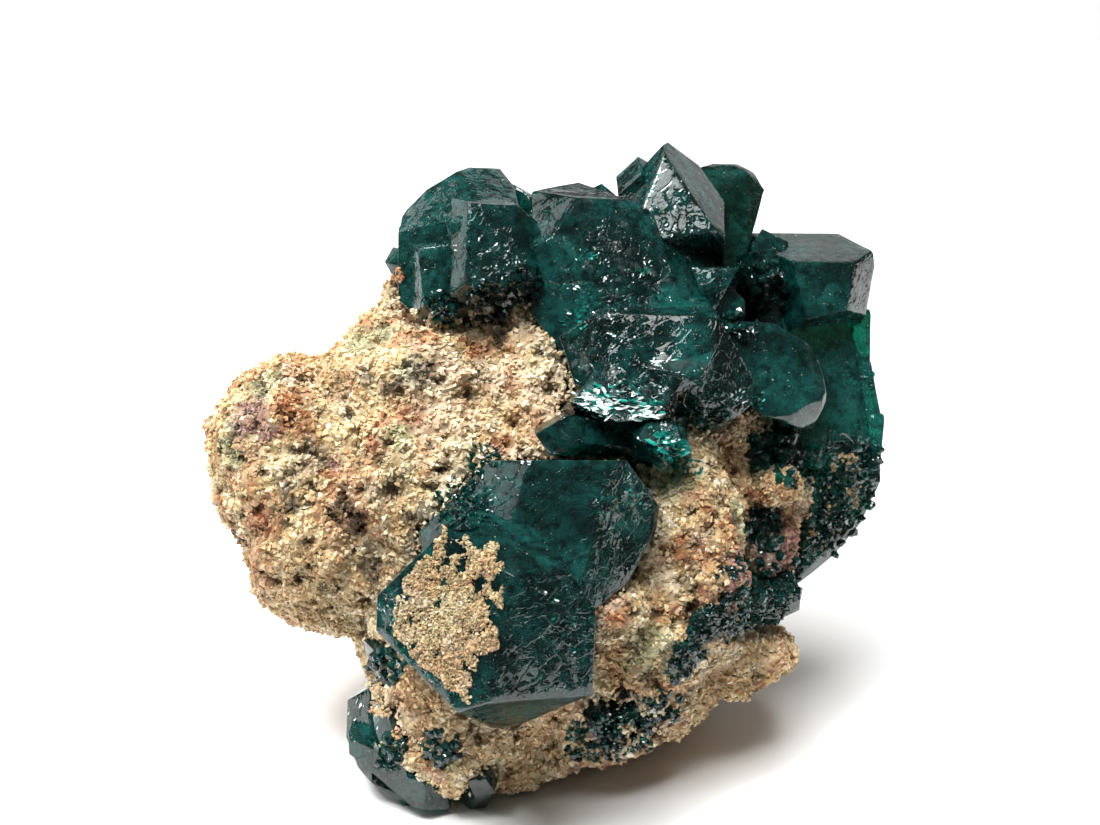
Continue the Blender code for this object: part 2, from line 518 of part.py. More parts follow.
def clean_up(obj):
    """Merges the flat triangles that joins and cuts leave, and drops crumbs and inner voids."""
    bm = bmesh.new()
    bm.from_mesh(obj.data)
    bmesh.ops.remove_doubles(bm, verts=bm.verts, dist=WELD)
    bmesh.ops.dissolve_degenerate(bm, edges=bm.edges, dist=WELD)
    bmesh.ops.dissolve_limit(bm, angle_limit=FLAT_ANGLE, verts=bm.verts, edges=bm.edges)
    bmesh.ops.triangulate(bm, faces=bm.faces)
    for crumb in sorted(islands(bm), key=len)[:-1]:
        bmesh.ops.delete(bm, geom=list(crumb), context="VERTS")
    bm.to_mesh(obj.data)
    bm.free()


def islands(bm):
    """The groups of points that edges join."""
    left = set(bm.verts)
    found = []
    while left:
        island = {left.pop()}
        front = island
        while front:
            front = {edge.other_vert(v) for v in front for edge in v.link_edges} - island
            island = island | front
        left -= island
        found.append(island)
    return found


def blended(obj, collection):
    """Remeshes the object as one skin of even grain."""
    blend = obj.modifiers.new("blend", "REMESH")
    blend.mode = "VOXEL"
    blend.voxel_size = ROCK_GRAIN
    return settled(obj, obj.name, collection)


def undercut(obj):
    bm = bmesh.new()
    bm.from_mesh(obj.data)
    for direction, place in UNDERSIDE:
        slice_off(bm, placed(*place), towards(*direction).normalized())
    bm.to_mesh(obj.data)
    bm.free()


def weather(obj):
    """Knocks the blended lumps into a broken, pitted rock."""
    for vertex in obj.data.vertices:
        depth = sum(size * noise.noise(vertex.co * rate) for rate, size in ROCK_WAVES)
        vertex.co += vertex.normal * depth


def rock(cutters, collection, helpers):
    """The matrix: lumps blended into one, undercut, weathered, and cut to its sockets and base."""
    bm = bmesh.new()
    for centre, radii in LUMPS:
        lump = bmesh.ops.create_icosphere(bm, subdivisions=LUMP_SUBDIVISIONS, radius=1)["verts"]
        corner = placed(*centre)
        for vertex in lump:
            vertex.co = corner + towards(*(a * r for a, r in zip(vertex.co, radii)))
    lumps = blended(object_from(bm, "lumps", helpers), helpers)
    undercut(lumps)
    weather(lumps)
    lumps = blended(lumps, helpers)
    thin = lumps.modifiers.new("thin", "DECIMATE")
    thin.ratio = ROCK_TRIANGLES / (2 * len(lumps.data.polygons))
    lumps = settled(lumps, "lumps", helpers)
    made = combined(lumps, cutters, "DIFFERENCE", "rock_matrix", collection)
    clean_up(made)
    return made


def foot_cutter(helpers):
    """What lies under the surface that the rock rests on."""
    bm = bmesh.new()
    bmesh.ops.create_cube(bm, size=GROUND_SIZE)
    bmesh.ops.translate(bm, verts=bm.verts, vec=(0, 0, -GROUND_SIZE / 2))
    return object_from(bm, "below_ground", helpers)


def finish(obj, look):
    obj.data.transform(Matrix.Diagonal((MM, MM, MM, 1)))
    obj.data.materials.clear()
    obj.data.materials.append(material(look))
    for face in obj.data.polygons:
        face.use_smooth = False


def main():
    clear_scene()
    parts = new_collection("dioptase_specimen")
    helpers = new_collection("cutters")
    clusters = []
    cutters = [foot_cutter(helpers)]
    for name, members in CLUSTERS.items():
        whole = crystals(name, members, parts)
        cluster = combined(whole, cutters, "DIFFERENCE", name, parts)
        clean_up(cluster)
        clusters.append(cluster)
        cutters.append(crystals(f"socket_{name}", members, helpers, grow=SOCKET_GAP))
    matrix = rock(cutters, parts, helpers)
    for cluster in clusters:
        finish(cluster, "dioptase")
    finish(matrix, "rock")
    for helper in list(helpers.objects):
        bpy.data.objects.remove(helper)


main()
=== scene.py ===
"""Looks of a dioptase specimen: dark green crystals on a lump of sandy carbonate rock.

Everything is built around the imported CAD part. Lengths are in millimetres until a mesh is
written, where MM turns them into metres. Places that were measured on the photograph are
given as (across, up) on a plane through the middle of the specimen that faces the camera.
"""

import math

import bmesh
import bpy
import numpy as np
from mathutils import Matrix, Vector, noise
from mathutils.bvhtree import BVHTree
from mathutils.kdtree import KDTree

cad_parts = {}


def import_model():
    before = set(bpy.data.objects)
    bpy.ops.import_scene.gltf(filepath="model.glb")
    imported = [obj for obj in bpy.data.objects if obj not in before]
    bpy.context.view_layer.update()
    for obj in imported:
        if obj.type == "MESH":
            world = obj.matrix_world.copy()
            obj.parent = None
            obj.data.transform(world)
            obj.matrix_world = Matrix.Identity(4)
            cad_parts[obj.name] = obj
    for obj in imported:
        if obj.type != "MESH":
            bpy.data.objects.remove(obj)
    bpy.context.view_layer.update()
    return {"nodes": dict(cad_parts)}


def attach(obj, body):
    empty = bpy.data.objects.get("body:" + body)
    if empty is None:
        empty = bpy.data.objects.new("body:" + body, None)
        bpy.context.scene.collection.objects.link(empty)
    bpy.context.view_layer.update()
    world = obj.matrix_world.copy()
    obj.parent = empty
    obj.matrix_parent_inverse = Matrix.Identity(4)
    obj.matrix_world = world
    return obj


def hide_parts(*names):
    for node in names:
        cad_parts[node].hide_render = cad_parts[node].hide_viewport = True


MM = 0.001
SEED = 20

# The camera: how high it looks from, how far away it is, and where it looks.
EYE_ELEVATION = math.radians(22.0)
EYE_DISTANCE = 105.0
VIEW_ORIGIN = Vector((-0.5, -0.7, 18.2))
PICTURE_SIZE = (1100, 825)
PIXELS_PER_MM = 16.2
AIM_PIXEL = (545, 478)

# The studio: the floor sheet, the soft lights (place and size in mm, power in watts), what
# they face, the ones that aren't mirrored, and how bright the surround lights the specimen and
# looks behind it.
FLOOR_OUTLINE = ((-330, -60), (42, -60), (72, 10), (185, 45), (185, 330), (-330, 330))
FLOOR_COLOUR = (0.86, 0.86, 0.85, 1)
FLOOR_ROUGHNESS = 0.7
SOFTBOXES = (
    ("overhead", (-40, -20, 450), (380, 340), 3.9),
    ("key", (-216, -115, 479), (150, 150), 2.25),
    ("front_top", (-105, -235, 449), (140, 120), 0.32),
    ("left", (-325, -203, 341), (150, 150), 0.085),
    ("behind", (90, 480, 200), (800, 300), 0.5),
    ("behind_left", (-446, 189, 272), (420, 420), 0.85),
)
LIT_SPOT = (0, 0, 15)
UNMIRRORED = ("overhead",)
SURROUND_LIGHT = 0.07
SURROUND_SEEN = 1.0

# The rock: the fine mesh under the grains, its relief, the room it has in front of crystals
# (how far it is looked for, and how much is left), its pits and its grains.
ROCK_VOXEL = 0.3
ROCK_RELIEF = ((0.33, 0.42), (0.85, 0.26))
ROCK_CELLS = (1.25, 0.3)
ROOM = (1.5, 0.15)
PIT_COUNT = 1300
PIT_RADIUS = (0.16, 0.55)
PIT_DEPTH = 0.75
GRAIN_SIZE = (0.17, 0.62)
GRAIN_POWER = 2.0
GRAINS_PER_MESH = 19000
GRAIN_TRIES = 1.9
GRAIN_MESHES = 3
SOCKET_REACH = 0.75
# The rock between the grains: its low grain value is painted shade in the gaps between them.
BARE_ROCK = {"grain": 0.1, "tone": 0.32}

# How the rock is coloured: by a broad noise and by a tone that each grain has for itself, then
# salmon places, the patches by kind with their share and colour, each grain's own lightness,
# and painted shade that darkens pits and low places.
TONE_SHARE = 0.48
ROCK_COLOURS = (
    (0.00, (0.2, 0.065, 0.025)),
    (0.15, (0.48, 0.22, 0.11)),
    (0.3, (0.62, 0.42, 0.2)),
    (0.44, (0.84, 0.66, 0.4)),
    (0.56, (0.52, 0.38, 0.17)),
    (0.68, (0.86, 0.72, 0.47)),
    (1.00, (0.98, 0.93, 0.8)),
)
SALMON = (0.5, (0.56, 0.28, 0.16))
PATCH_COLOURS = (
    ("tan", 0.5, (0.4, 0.26, 0.12)),
    ("rust", 0.8, (0.38, 0.13, 0.05)),
    ("green", 0.7, (0.42, 0.46, 0.27)),
    ("pale", 0.6, (0.92, 0.8, 0.58)),
    ("rim", 0.4, (0.86, 0.82, 0.66)),
    ("sand", 0.85, (0.28, 0.225, 0.118)),
    ("purple", 0.85, (0.32, 0.155, 0.155)),
    ("dark", 0.88, (0.04, 0.02, 0.012)),
)
GRAIN_SHADE = (0.69, 1.15)
HOLLOW_SHADE = 0.4
ROCK_ROUGHNESS = (0.25, 0.65)

# Patches of the rock, as (across, up, radius) on the side that faces the camera.
PATCHES = {
    "purple": (
        (-18.2, 3.7, 1.3), (-17.3, 3, 0.8), (-12.9, 0.9, 0.5), (14.5, -4.4, 2.2),
        (12.2, -6.3, 1.9), (16.3, -4.6, 1.2),
    ),
    "green": (
        (-17.3, 5.6, 1), (-19.7, 2.4, 0.8), (-19, 1.3, 0.7), (-9.1, 2.6, 1),
        (-8.4, 6.6, 0.9), (-10.6, 8.4, 1.6), (8.3, -0.3, 1.1), (12, -2.6, 1.2),
        (6.6, -10.9, 1.9), (-6.2, -17.3, 0.9),
    ),
    "tan": (
        (-14.5, -7, 3.2), (-9, -8, 2.4), (-18.2, -5.4, 2.2), (-6.5, -14.8, 3),
        (-2, -17.5, 2.5), (12, -11.8, 3.2), (14, -13, 2), (4.5, -8.5, 1.7),
        (6.5, -12.5, 2.4),
    ),
    "rust": (
        (-15.4, 3.5, 1.1), (-15.5, 4.9, 1), (-17.6, 6.6, 0.6), (-4.3, 7.7, 1),
        (-17.4, -2.7, 1.1), (-2.9, 1.9, 0.8), (9.3, -4.6, 1.2), (4.6, -8.2, 1.1),
    ),
    "pale": (
        (-5.9, 3.5, 2), (-6.5, 6.3, 2), (-3.4, 6.3, 1.6), (-10.3, -0.9, 1),
        (-0.3, 5.8, 1.7), (-5.7, 0.2, 1.6), (-14.6, 1.2, 1.3), (-12.3, 4.6, 1),
        (7.3, -6, 1), (11.2, -11, 0.7),
    ),
    "dark": (
        (-7.5, 6.8, 0.9), (-9.4, 5.6, 0.6), (-12.4, -1.7, 0.6), (-11.5, -2.9, 0.9),
        (-15.7, -1.4, 0.5), (-10.9, -5.5, 0.8), (-17.3, -7.3, 0.5), (-18.9, -3.6, 0.5),
        (-2.6, 8.5, 0.6), (13.4, -2.7, 1.5), (9, -5.6, 0.6), (9.4, -9.6, 1.2),
        (10.8, -8.6, 1.3), (12.4, -7.8, 1.3), (13.8, -7.2, 1.2), (15.2, -6.7, 1.1),
        (11.8, -9.1, 1), (13.4, -8.5, 0.9), (8.6, -11.4, 1.1), (5, -15.2, 2.2),
        (-6.6, -16.3, 0.9),
    ),
}

# Crystals: their worn edges, the fine mesh of their faces, and its relief as pairs of how
# often per mm and how high in mm.
EDGE_WELD = 0.12
EDGE_BEVEL = 0.04
SHORTEST_EDGE = 0.01
FLAT_ANGLE = math.radians(1.5)
MESH_ROUNDS = 7
EDGE_ANGLE = math.radians(8.0)
CREASE_ANGLE = -2 * EDGE_ANGLE
FACE_MESH = 0.75
ETCHED_MESH = 0.26
FACE_WAVE = (0.45, 0.03)
ETCH_WAVES = ((0.9, 0.02), (2.4, 0.01))
ETCH_CELLS = (1.4, 0.03)

# Where crystal faces are etched or broken, as (across, up, radius, amount).
ETCHED = (
    (4, 13.4, 2.4, 0.8), (5.6, 11.4, 2.2, 0.9), (2.2, 11.8, 1.8, 0.8), (2.8, 9.4, 2, 0.9),
    (8.2, 16.4, 1.8, 0.25), (4.4, 6.9, 3, 0.1), (4.2, 4.4, 2.2, 0.7), (7, 4.8, 1.2, 0.5),
    (9.2, 5, 2.2, 0.5), (8, 1.8, 1.8, 1), (-3, 13.2, 2, 0.25), (4.6, -1.8, 2.2, 0.4),
    (-5.2, -1.4, 1.8, 1), (-9, -8.4, 1.4, 0.8), (-6.4, -12.4, 1.4, 0.8),
    (19.2, -1.5, 4, 0.8), (13, 12.4, 1.6, 0.7),
)

# Slabs that grow along the right side, as (across, up, out) of the middle, then the half
# width, half height and half depth, and a turn in degrees.
SLABS = (
    ((19.25, 8.2, -7.6), (0.75, 2.6, 1.7), -3), ((19.55, 5.2, -7.8), (0.85, 2.6, 1.7), 9),
    ((20.05, 2.2, -7.6), (0.7, 2.2, 1.6), -7),
)

# Where crystals are rounded, as (across, up, radius).
ROUNDED = (
    (11.8, 18.2, 2.6), (16.2, 5, 2.8), (-8.2, 17, 1.8), (8.2, 6.7, 1.7), (16.6, 3.2, 3),
)
ROUNDING_STEPS = 55

# The fine relief in the crystal material, as how often per mm, then slope or height: tilted
# flat steps, an even roughness, and a net of cracks with its width and depth. The last two
# numbers are how much of the relief and of the cracks is left where a face isn't etched.
FACETS = ((0.85, 0.1), (2.6, 0.2))
FINE_RELIEF = (2.4, 0.06)
CRACKS = (0.9, 0.08, 0.08)
CRACK_WANDER = (1.1, 1.6)
PLAIN_RELIEF = 0.16
PLAIN_CRACKS = 0.08
POLISH = (0.02, 0.11)
ETCHED_ROUGHNESS = 0.07

# Where the crystals are clearer and let more light through, as (across, up, radius, amount).
CLEARER = (
    (-7.2, 16, 3, 0.7), (-8.4, 13.6, 1.6, 0.5), (19.8, 4, 3.2, 1), (18.8, 8.2, 2.6, 0.7),
    (15, 5, 2.8, 0.6), (16.8, 0.6, 1.8, 0.9), (1.6, 9.8, 1.9, 0.9), (0.9, 13.2, 1.6, 0.8),
    (8, 10.8, 1.3, 1), (9.4, 8.2, 1.4, 0.7), (8.3, 1.4, 1.7, 1), (5.4, -1.6, 2.3, 0.8),
    (17.6, 9.8, 2.4, 0.6), (14.2, 18.6, 1.6, 0.5), (3, -5.4, 1.8, 0.5), (-9.8, -8.6, 1, 0.7),
    (-1, -14.4, 2, 0.8), (-11.4, -15.8, 1.6, 0.6),
)

# Dioptase: the refraction, the absorption per metre, and how much of it is cloudy.
DIOPTASE_IOR = 1.65
DIOPTASE_TINT = (0.02, 0.6, 0.5)
DIOPTASE_DENSITY = 1500.0
SMALL_DENSITY = 9000.0
CLEARNESS = 0.94
CLOUD_COLOURS = ((0.006, 0.085, 0.07), (0.1, 0.9, 0.8))
SMALL_ETCHED = 0.1

# Fractures: their white and their teal, which are painted reflection, the light a crack throws
# back, teal where it has passed through the green crystal; and sheets of small bright flakes
# inside the crystals.
PAINTED_GLINT_COLOURS = ((0.8, 0.93, 0.9), (0.006, 0.25, 0.2))
FRACTURE_METALLIC = 0.35
FRACTURE_ROUGHNESS = (0.18, 0.42)
VEIL_COUNT = 230
VEIL_RADIUS = (0.8, 2.6)
VEIL_DEPTH = (0.3, 2.2)
VEIL_FLAKES = 26
FLAKE_SIZE = (0.08, 0.34)
FLAKE_STRETCH = 1.5
VEIL_TEAL = 0.5

# Places that glint: (across, up), (half width, half height), turn in degrees, depth range
# (negative stands out), number of flakes, largest flake, how much longer than wide they are,
# their spread, and the share of them whose painted reflection is teal.
GLINTS = (
    ((4.6, 4.5), (3, 0.8), -10, (-0.06, -0.01), 50, 1.2, 3, 0.34, 0.05),
    ((5.2, 4.8), (2.6, 0.9), -14, (-0.06, -0.01), 50, 1.1, 2.6, 0.55, 0.9),
    ((3.4, 5), (1.2, 0.5), -30, (-0.06, -0.01), 18, 1.1, 2.6, 0.34, 0.2),
    ((5.4, 4.6), (2.4, 0.9), 10, (-0.08, -0.02), 26, 0.9, 6, 0.6, 0),
    ((2.6, 4.3), (1, 0.6), -40, (-0.06, 0.01), 26, 0.8, 4, 0.25, 0.3),
    ((7.3, 7.2), (0.9, 0.25), 8, (-0.05, 0.01), 12, 0.7, 4, 0.12, 0),
    ((7.6, 1.9), (1.3, 0.9), -20, (-0.12, -0.02), 60, 1.05, 1.8, 0.45, 1),
    ((8.8, 0.7), (0.9, 0.55), -10, (-0.12, -0.02), 34, 0.9, 1.8, 0.45, 1),
    ((8.1, 2), (0.8, 0.45), -25, (-0.16, -0.1), 9, 0.8, 3, 0.2, 0),
    ((9.2, 3.3), (0.35, 0.12), 30, (-0.06, 0), 4, 0.5, 3, 0.1, 0),
    ((6.9, 3.1), (0.8, 0.3), 30, (-0.04, 0.02), 8, 0.5, 3, 0.2, 0.2),
    ((2.7, 13.8), (0.7, 0.4), 20, (-0.02, 0.25), 44, 0.6, 1.8, 0.55, 1),
    ((6.4, 12.9), (0.6, 0.45), 50, (-0.02, 0.25), 36, 0.5, 1.8, 0.55, 1),
    ((4.6, 13), (2.2, 2.4), 40, (-0.02, 0.06), 70, 0.36, 4, 0.45, 0.45),
    ((4.9, 11.6), (2, 1.4), 10, (-0.02, 0.04), 50, 0.28, 3, 0.45, 0.4),
    ((2, 9.8), (1, 0.7), 30, (-0.02, 0.3), 60, 0.6, 1.8, 0.55, 0.97),
    ((2.5, 10.8), (0.8, 0.6), 60, (-0.02, 0.3), 44, 0.55, 1.8, 0.55, 0.97),
    ((7.8, 10.9), (0.9, 0.6), -30, (0.1, 0.5), 30, 0.5, 1.6, 0.35, 1),
    ((1.8, 11.8), (0.7, 0.15), 0, (-0.05, 0), 6, 0.4, 2, 0.1, 0),
    ((3.7, 8.9), (0.8, 0.15), -10, (-0.05, 0), 6, 0.45, 2, 0.1, 0),
    ((12, 5), (0.6, 0.6), 60, (-0.04, 0.02), 22, 0.4, 2, 0.3, 0.2),
    ((13.2, 4.6), (0.5, 0.6), 40, (-0.02, 0.1), 22, 0.55, 1.4, 0.3, 1),
    ((4.6, -2), (2, 1.5), 35, (0.1, 0.6), 90, 0.55, 2, 0.45, 0.9),
    ((5.4, -1.2), (0.8, 0.6), 35, (-0.02, 0.1), 22, 0.5, 2.6, 0.35, 0.75),
    ((16.4, 0.9), (1.3, 0.9), 50, (-0.02, 0.3), 60, 0.6, 1.6, 0.35, 1),
    ((19.9, 2.4), (1, 1.3), 80, (0.02, 0.5), 60, 0.6, 1.6, 0.35, 1),
    ((20, 6), (0.8, 1.8), 80, (0.05, 0.5), 60, 0.6, 1.6, 0.35, 1),
    ((-6.8, 16), (1.9, 1.6), 40, (0.2, 0.9), 60, 0.45, 1.6, 0.45, 1),
    ((-2.2, 13.3), (1.3, 1), 55, (-0.03, 0.03), 26, 0.6, 7, 0.35, 0.1),
    ((-5.3, 14.3), (0.35, 0.35), 0, (-0.05, 0), 5, 0.36, 1.5, 0.15, 0),
    ((1.2, -9), (1.2, 0.7), -30, (0.02, 0.25), 26, 0.6, 2.2, 0.3, 0.6),
    ((0.2, -7.3), (0.8, 0.25), -40, (-0.04, 0.05), 8, 0.5, 2.6, 0.25, 0.2),
    ((-1.2, -11), (0.9, 0.5), 10, (0.1, 0.3), 24, 0.34, 1.6, 0.45, 0.6),
    ((1.8, -10.6), (0.8, 0.2), 5, (-0.02, 0.1), 8, 0.6, 2.6, 0.2, 0.4),
    ((-9.2, -9), (0.3, 1.6), 20, (-0.02, 0.1), 36, 0.32, 1.6, 0.45, 0.8),
    ((-6.4, -12.6), (1.8, 0.3), -42, (-0.02, 0.1), 40, 0.32, 1.6, 0.45, 0.7),
    ((11.3, -11), (0.5, 0.9), -60, (-0.1, 0), 18, 1, 4, 0.3, 0),
    ((8.3, -9.6), (0.5, 1.1), -65, (-0.08, 0), 10, 0.8, 4, 0.3, 0),
    ((8.2, -0.4), (0.7, 0.5), 55, (-0.08, 0), 24, 0.8, 6, 0.3, 0.05),
    ((13.2, -6), (2.4, 2), 0, (-0.5, -0.05), 60, 0.3, 1.6, 0.8, 0.2),
    ((5, -15.4), (2.8, 1.3), 10, (-0.5, -0.05), 90, 0.4, 2, 0.8, 0.3),
    ((11.6, -11.8), (2.4, 1.2), 20, (-0.1, 0), 26, 0.6, 4, 0.5, 0),
    ((-10.6, -14.6), (0.8, 2), 80, (-0.06, 0.02), 30, 0.6, 5, 0.5, 0.2),
)

# The crust that fills the narrow gap where a crystal comes out of the rock, and the ways
# from which the gap can be seen.
CRUST_TRIES = 50000
CRUST_REACH = 0.7
CRUST_GRAIN_SIZE = (0.2, 0.55)
CRUST_PALENESS = 0.6
OUTSIDE = (
    (0, -0.93, 0.37), (-1, 0, 0.3), (1, 0, 0.3), (0, 1, 0.3), (0, 0, 1),
)

# Rock grains that sit on crystals, as (across, up, radius, grains, how they are coloured).
SPRINKLES = (
    (-8.2, 9.8, 0.7, 170, "pale"), (-7, 9.4, 0.8, 190, "pale"), (-5.6, 9.5, 0.7, 150, "pale"),
    (-4.3, 9.9, 0.6, 120, "pale"), (-3.5, 10.6, 0.5, 60, "pale"), (-9.3, 12.4, 0.7, 150, "rust"),
    (-9.3, 11, 0.7, 150, "pale"), (18.5, 0.9, 0.9, 300, "brown"),
    (18.6, -0.9, 1.1, 480, "brown"), (17.7, -2.5, 1.1, 480, "brown"),
    (16.9, -3.8, 1, 300, "brown"), (14.4, -0.6, 1.2, 700, "rust"),
    (12.6, 2.6, 1.2, 420, "tan"), (11.2, 1.4, 1.2, 420, "tan"), (-9.9, -14.2, 1, 300, "tan"),
    (-9.3, -16.4, 0.9, 260, "tan"), (-8, -17.6, 0.8, 160, "tan"),
)
SPRINKLE_SIZE = (0.12, 0.4)
SPRINKLE_LOOKS = {
    # The pale grains under the crystals take the rim tint too: the crust's own pale colour, made
    # paler still as painted light where they sit in shade.
    "pale": {"pale": 1.0, "rim": 1.0},
    "tan": {"tan": 0.8},
    "rust": {"rust": 0.8},
    "brown": {"sand": 1.0, "dark": 0.45},
}

# The sandy coat on the left face of the front crystal, as corners (across, up).
COAT = (
    (-6.3, -3.4), (-3.6, -4.4), (-2.3, -5.8), (-2.9, -8.6), (-3, -10.5), (-4.2, -11.2),
    (-4.2, -12.8), (-4.9, -13.9), (-8.3, -10.9), (-9.4, -8.8), (-8.8, -6.5), (-7.3, -5),
)
COAT_GRAINS = 9000
COAT_GRAIN_SIZE = (0.1, 0.36)
COAT_GRAIN_POWER = 1.5
COAT_SAND = (0.5, 1.0)
COAT_DARK = (0.1, 0.8)

# The dust on the crystals: specks for each so many faces, at least some for every crystal
# group, their size, and how pale they are.
SPECK_COUNT = 1500
SPECK_FACES = 160000
FEWEST_SPECKS = 8
SPECK_SIZE = (0.03, 0.1)
SPECK_PALENESS = 0.8

# Places grown over with small dark crystals, as (across, up, radius, crystals, length range).
DRUSES = (
    (13.4, -3, 1.3, 70, (0.4, 1)), (13.8, 1.6, 1.4, 46, (0.6, 1.4)),
    (12, -6.2, 1.6, 40, (0.3, 0.8)), (14.6, -5.2, 1.6, 40, (0.3, 0.9)),
    (9.6, -9.4, 0.9, 100, (0.3, 0.9)), (10.4, -8.6, 0.8, 90, (0.3, 0.9)),
    (11.4, -8, 0.9, 100, (0.3, 0.9)), (12.6, -7.6, 0.9, 100, (0.3, 0.9)),
    (13.8, -7.2, 0.9, 100, (0.3, 0.9)), (15, -6.6, 0.9, 90, (0.3, 0.9)),
    (11.2, -9.2, 0.8, 80, (0.3, 0.9)), (12.6, -8.7, 0.8, 80, (0.3, 0.9)),
    (14, -8.1, 0.8, 70, (0.3, 0.9)), (8.9, -10.6, 0.9, 90, (0.3, 0.9)),
    (8.3, -11.8, 0.8, 70, (0.3, 0.8)), (10.3, 4.2, 1.1, 50, (0.3, 0.8)),
    (18.6, -1, 1.9, 110, (0.3, 0.9)), (17.6, -3.4, 1.5, 90, (0.3, 0.9)),
    (19.9, 0.8, 1.3, 60, (0.3, 0.8)), (15.4, 0.6, 1.2, 60, (0.3, 0.9)),
    (5, -15.4, 2.2, 190, (0.3, 0.7)), (2.6, -16.2, 1.4, 60, (0.3, 0.8)),
    (7.4, -14, 1.1, 50, (0.3, 0.8)), (-6.4, -16.6, 1.2, 50, (0.3, 0.9)),
    (-9.6, -11.6, 1.2, 34, (0.4, 1.1)), (-3.8, 1.2, 0.9, 30, (0.3, 0.7)),
    (-3.4, 11, 1.3, 60, (0.4, 1.1)), (-1.2, 12, 1, 40, (0.4, 1)),
    (-6.6, 10.6, 1, 30, (0.4, 0.9)), (-9.6, -17, 1, 30, (0.4, 1.1)),
    (13.6, 11.8, 1.6, 46, (0.5, 1.3)), (12.2, 9.4, 1, 20, (0.5, 1.2)),
    (-5.2, -1.6, 1.7, 110, (0.3, 0.6)),
)


def towards(across, up, out):
    """Turns a step across, up and out of the picture into a step in the part's axes."""
    sine, cosine = math.sin(EYE_ELEVATION), math.cos(EYE_ELEVATION)
    return Vector((across, up * sine - out * cosine, up * cosine + out * sine))


def placed(across, up, out=0.0):
    """The point that shows at (across, up) and lies `out` nearer to the camera."""
    nearer = 1 - out / EYE_DISTANCE
    return VIEW_ORIGIN + towards(across * nearer, up * nearer, out)


EYE = VIEW_ORIGIN + towards(0, 0, EYE_DISTANCE)


def seen_at(tree, across, up):
    """Point and normal, in mm, where the sight line through (across, up) meets the tree."""
    ray = (placed(across, up) - EYE).normalized()
    point, normal, _, _ = tree.ray_cast(EYE, ray)
    return point, normal


def rows_of(items, what, kind):
    """Three numbers of each item, as rows."""
    rows = np.empty(len(items) * 3, kind)
    items.foreach_get(what, rows)
    return rows.reshape(-1, 3)


def points_of(mesh):
    """The vertices of a mesh as rows, in mm."""
    return rows_of(mesh.vertices, "co", np.float64) / MM


def normals_of(mesh):
    return rows_of(mesh.vertices, "normal", np.float32).astype(np.float64)


def triangles_of(mesh):
    """The corner numbers of the triangles of a mesh."""
    mesh.calc_loop_triangles()
    return rows_of(mesh.loop_triangles, "vertices", np.int32)


def tree_of(*meshes):
    """One search tree, in mm, over several meshes."""
    points, corners, count = [], [], 0
    for mesh in meshes:
        rows = points_of(mesh)
        points.append(rows)
        corners.append(triangles_of(mesh) + count)
        count += len(rows)
    return BVHTree.FromPolygons(
        np.vstack(points).tolist(), np.vstack(corners).tolist(), all_triangles=True
    )


def mesh_from(name, points, faces):
    """A mesh from points in mm and faces that all have the same number of corners."""
    mesh = bpy.data.meshes.new(name)
    count, sides = faces.shape
    mesh.vertices.add(len(points))
    mesh.vertices.foreach_set("co", (points * MM).astype(np.float32).ravel())
    mesh.loops.add(count * sides)
    mesh.loops.foreach_set("vertex_index", faces.astype(np.int32).ravel())
    mesh.polygons.add(count)
    mesh.polygons.foreach_set("loop_start", np.arange(0, count * sides, sides, dtype=np.int32))
    mesh.update(calc_edges=True)
    mesh.validate()
    mesh.shade_flat()
    return mesh


def linked(name, data):
    """A new object in the scene."""
    holder = bpy.data.objects.new(name, data)
    bpy.context.scene.collection.objects.link(holder)
    return holder


def piece(name, mesh, material):
    """Shows a mesh as a piece that rides on the part."""
    mesh.materials.clear()
    mesh.materials.append(material)
    shown = linked(name, mesh)
    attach(shown, "root")
    return shown


def attribute(mesh, name, values):
    """Keeps one number per vertex, for the materials."""
    kept = mesh.attributes.new(name, "FLOAT", "POINT")
    kept.data.foreach_set("value", np.asarray(values, np.float32))


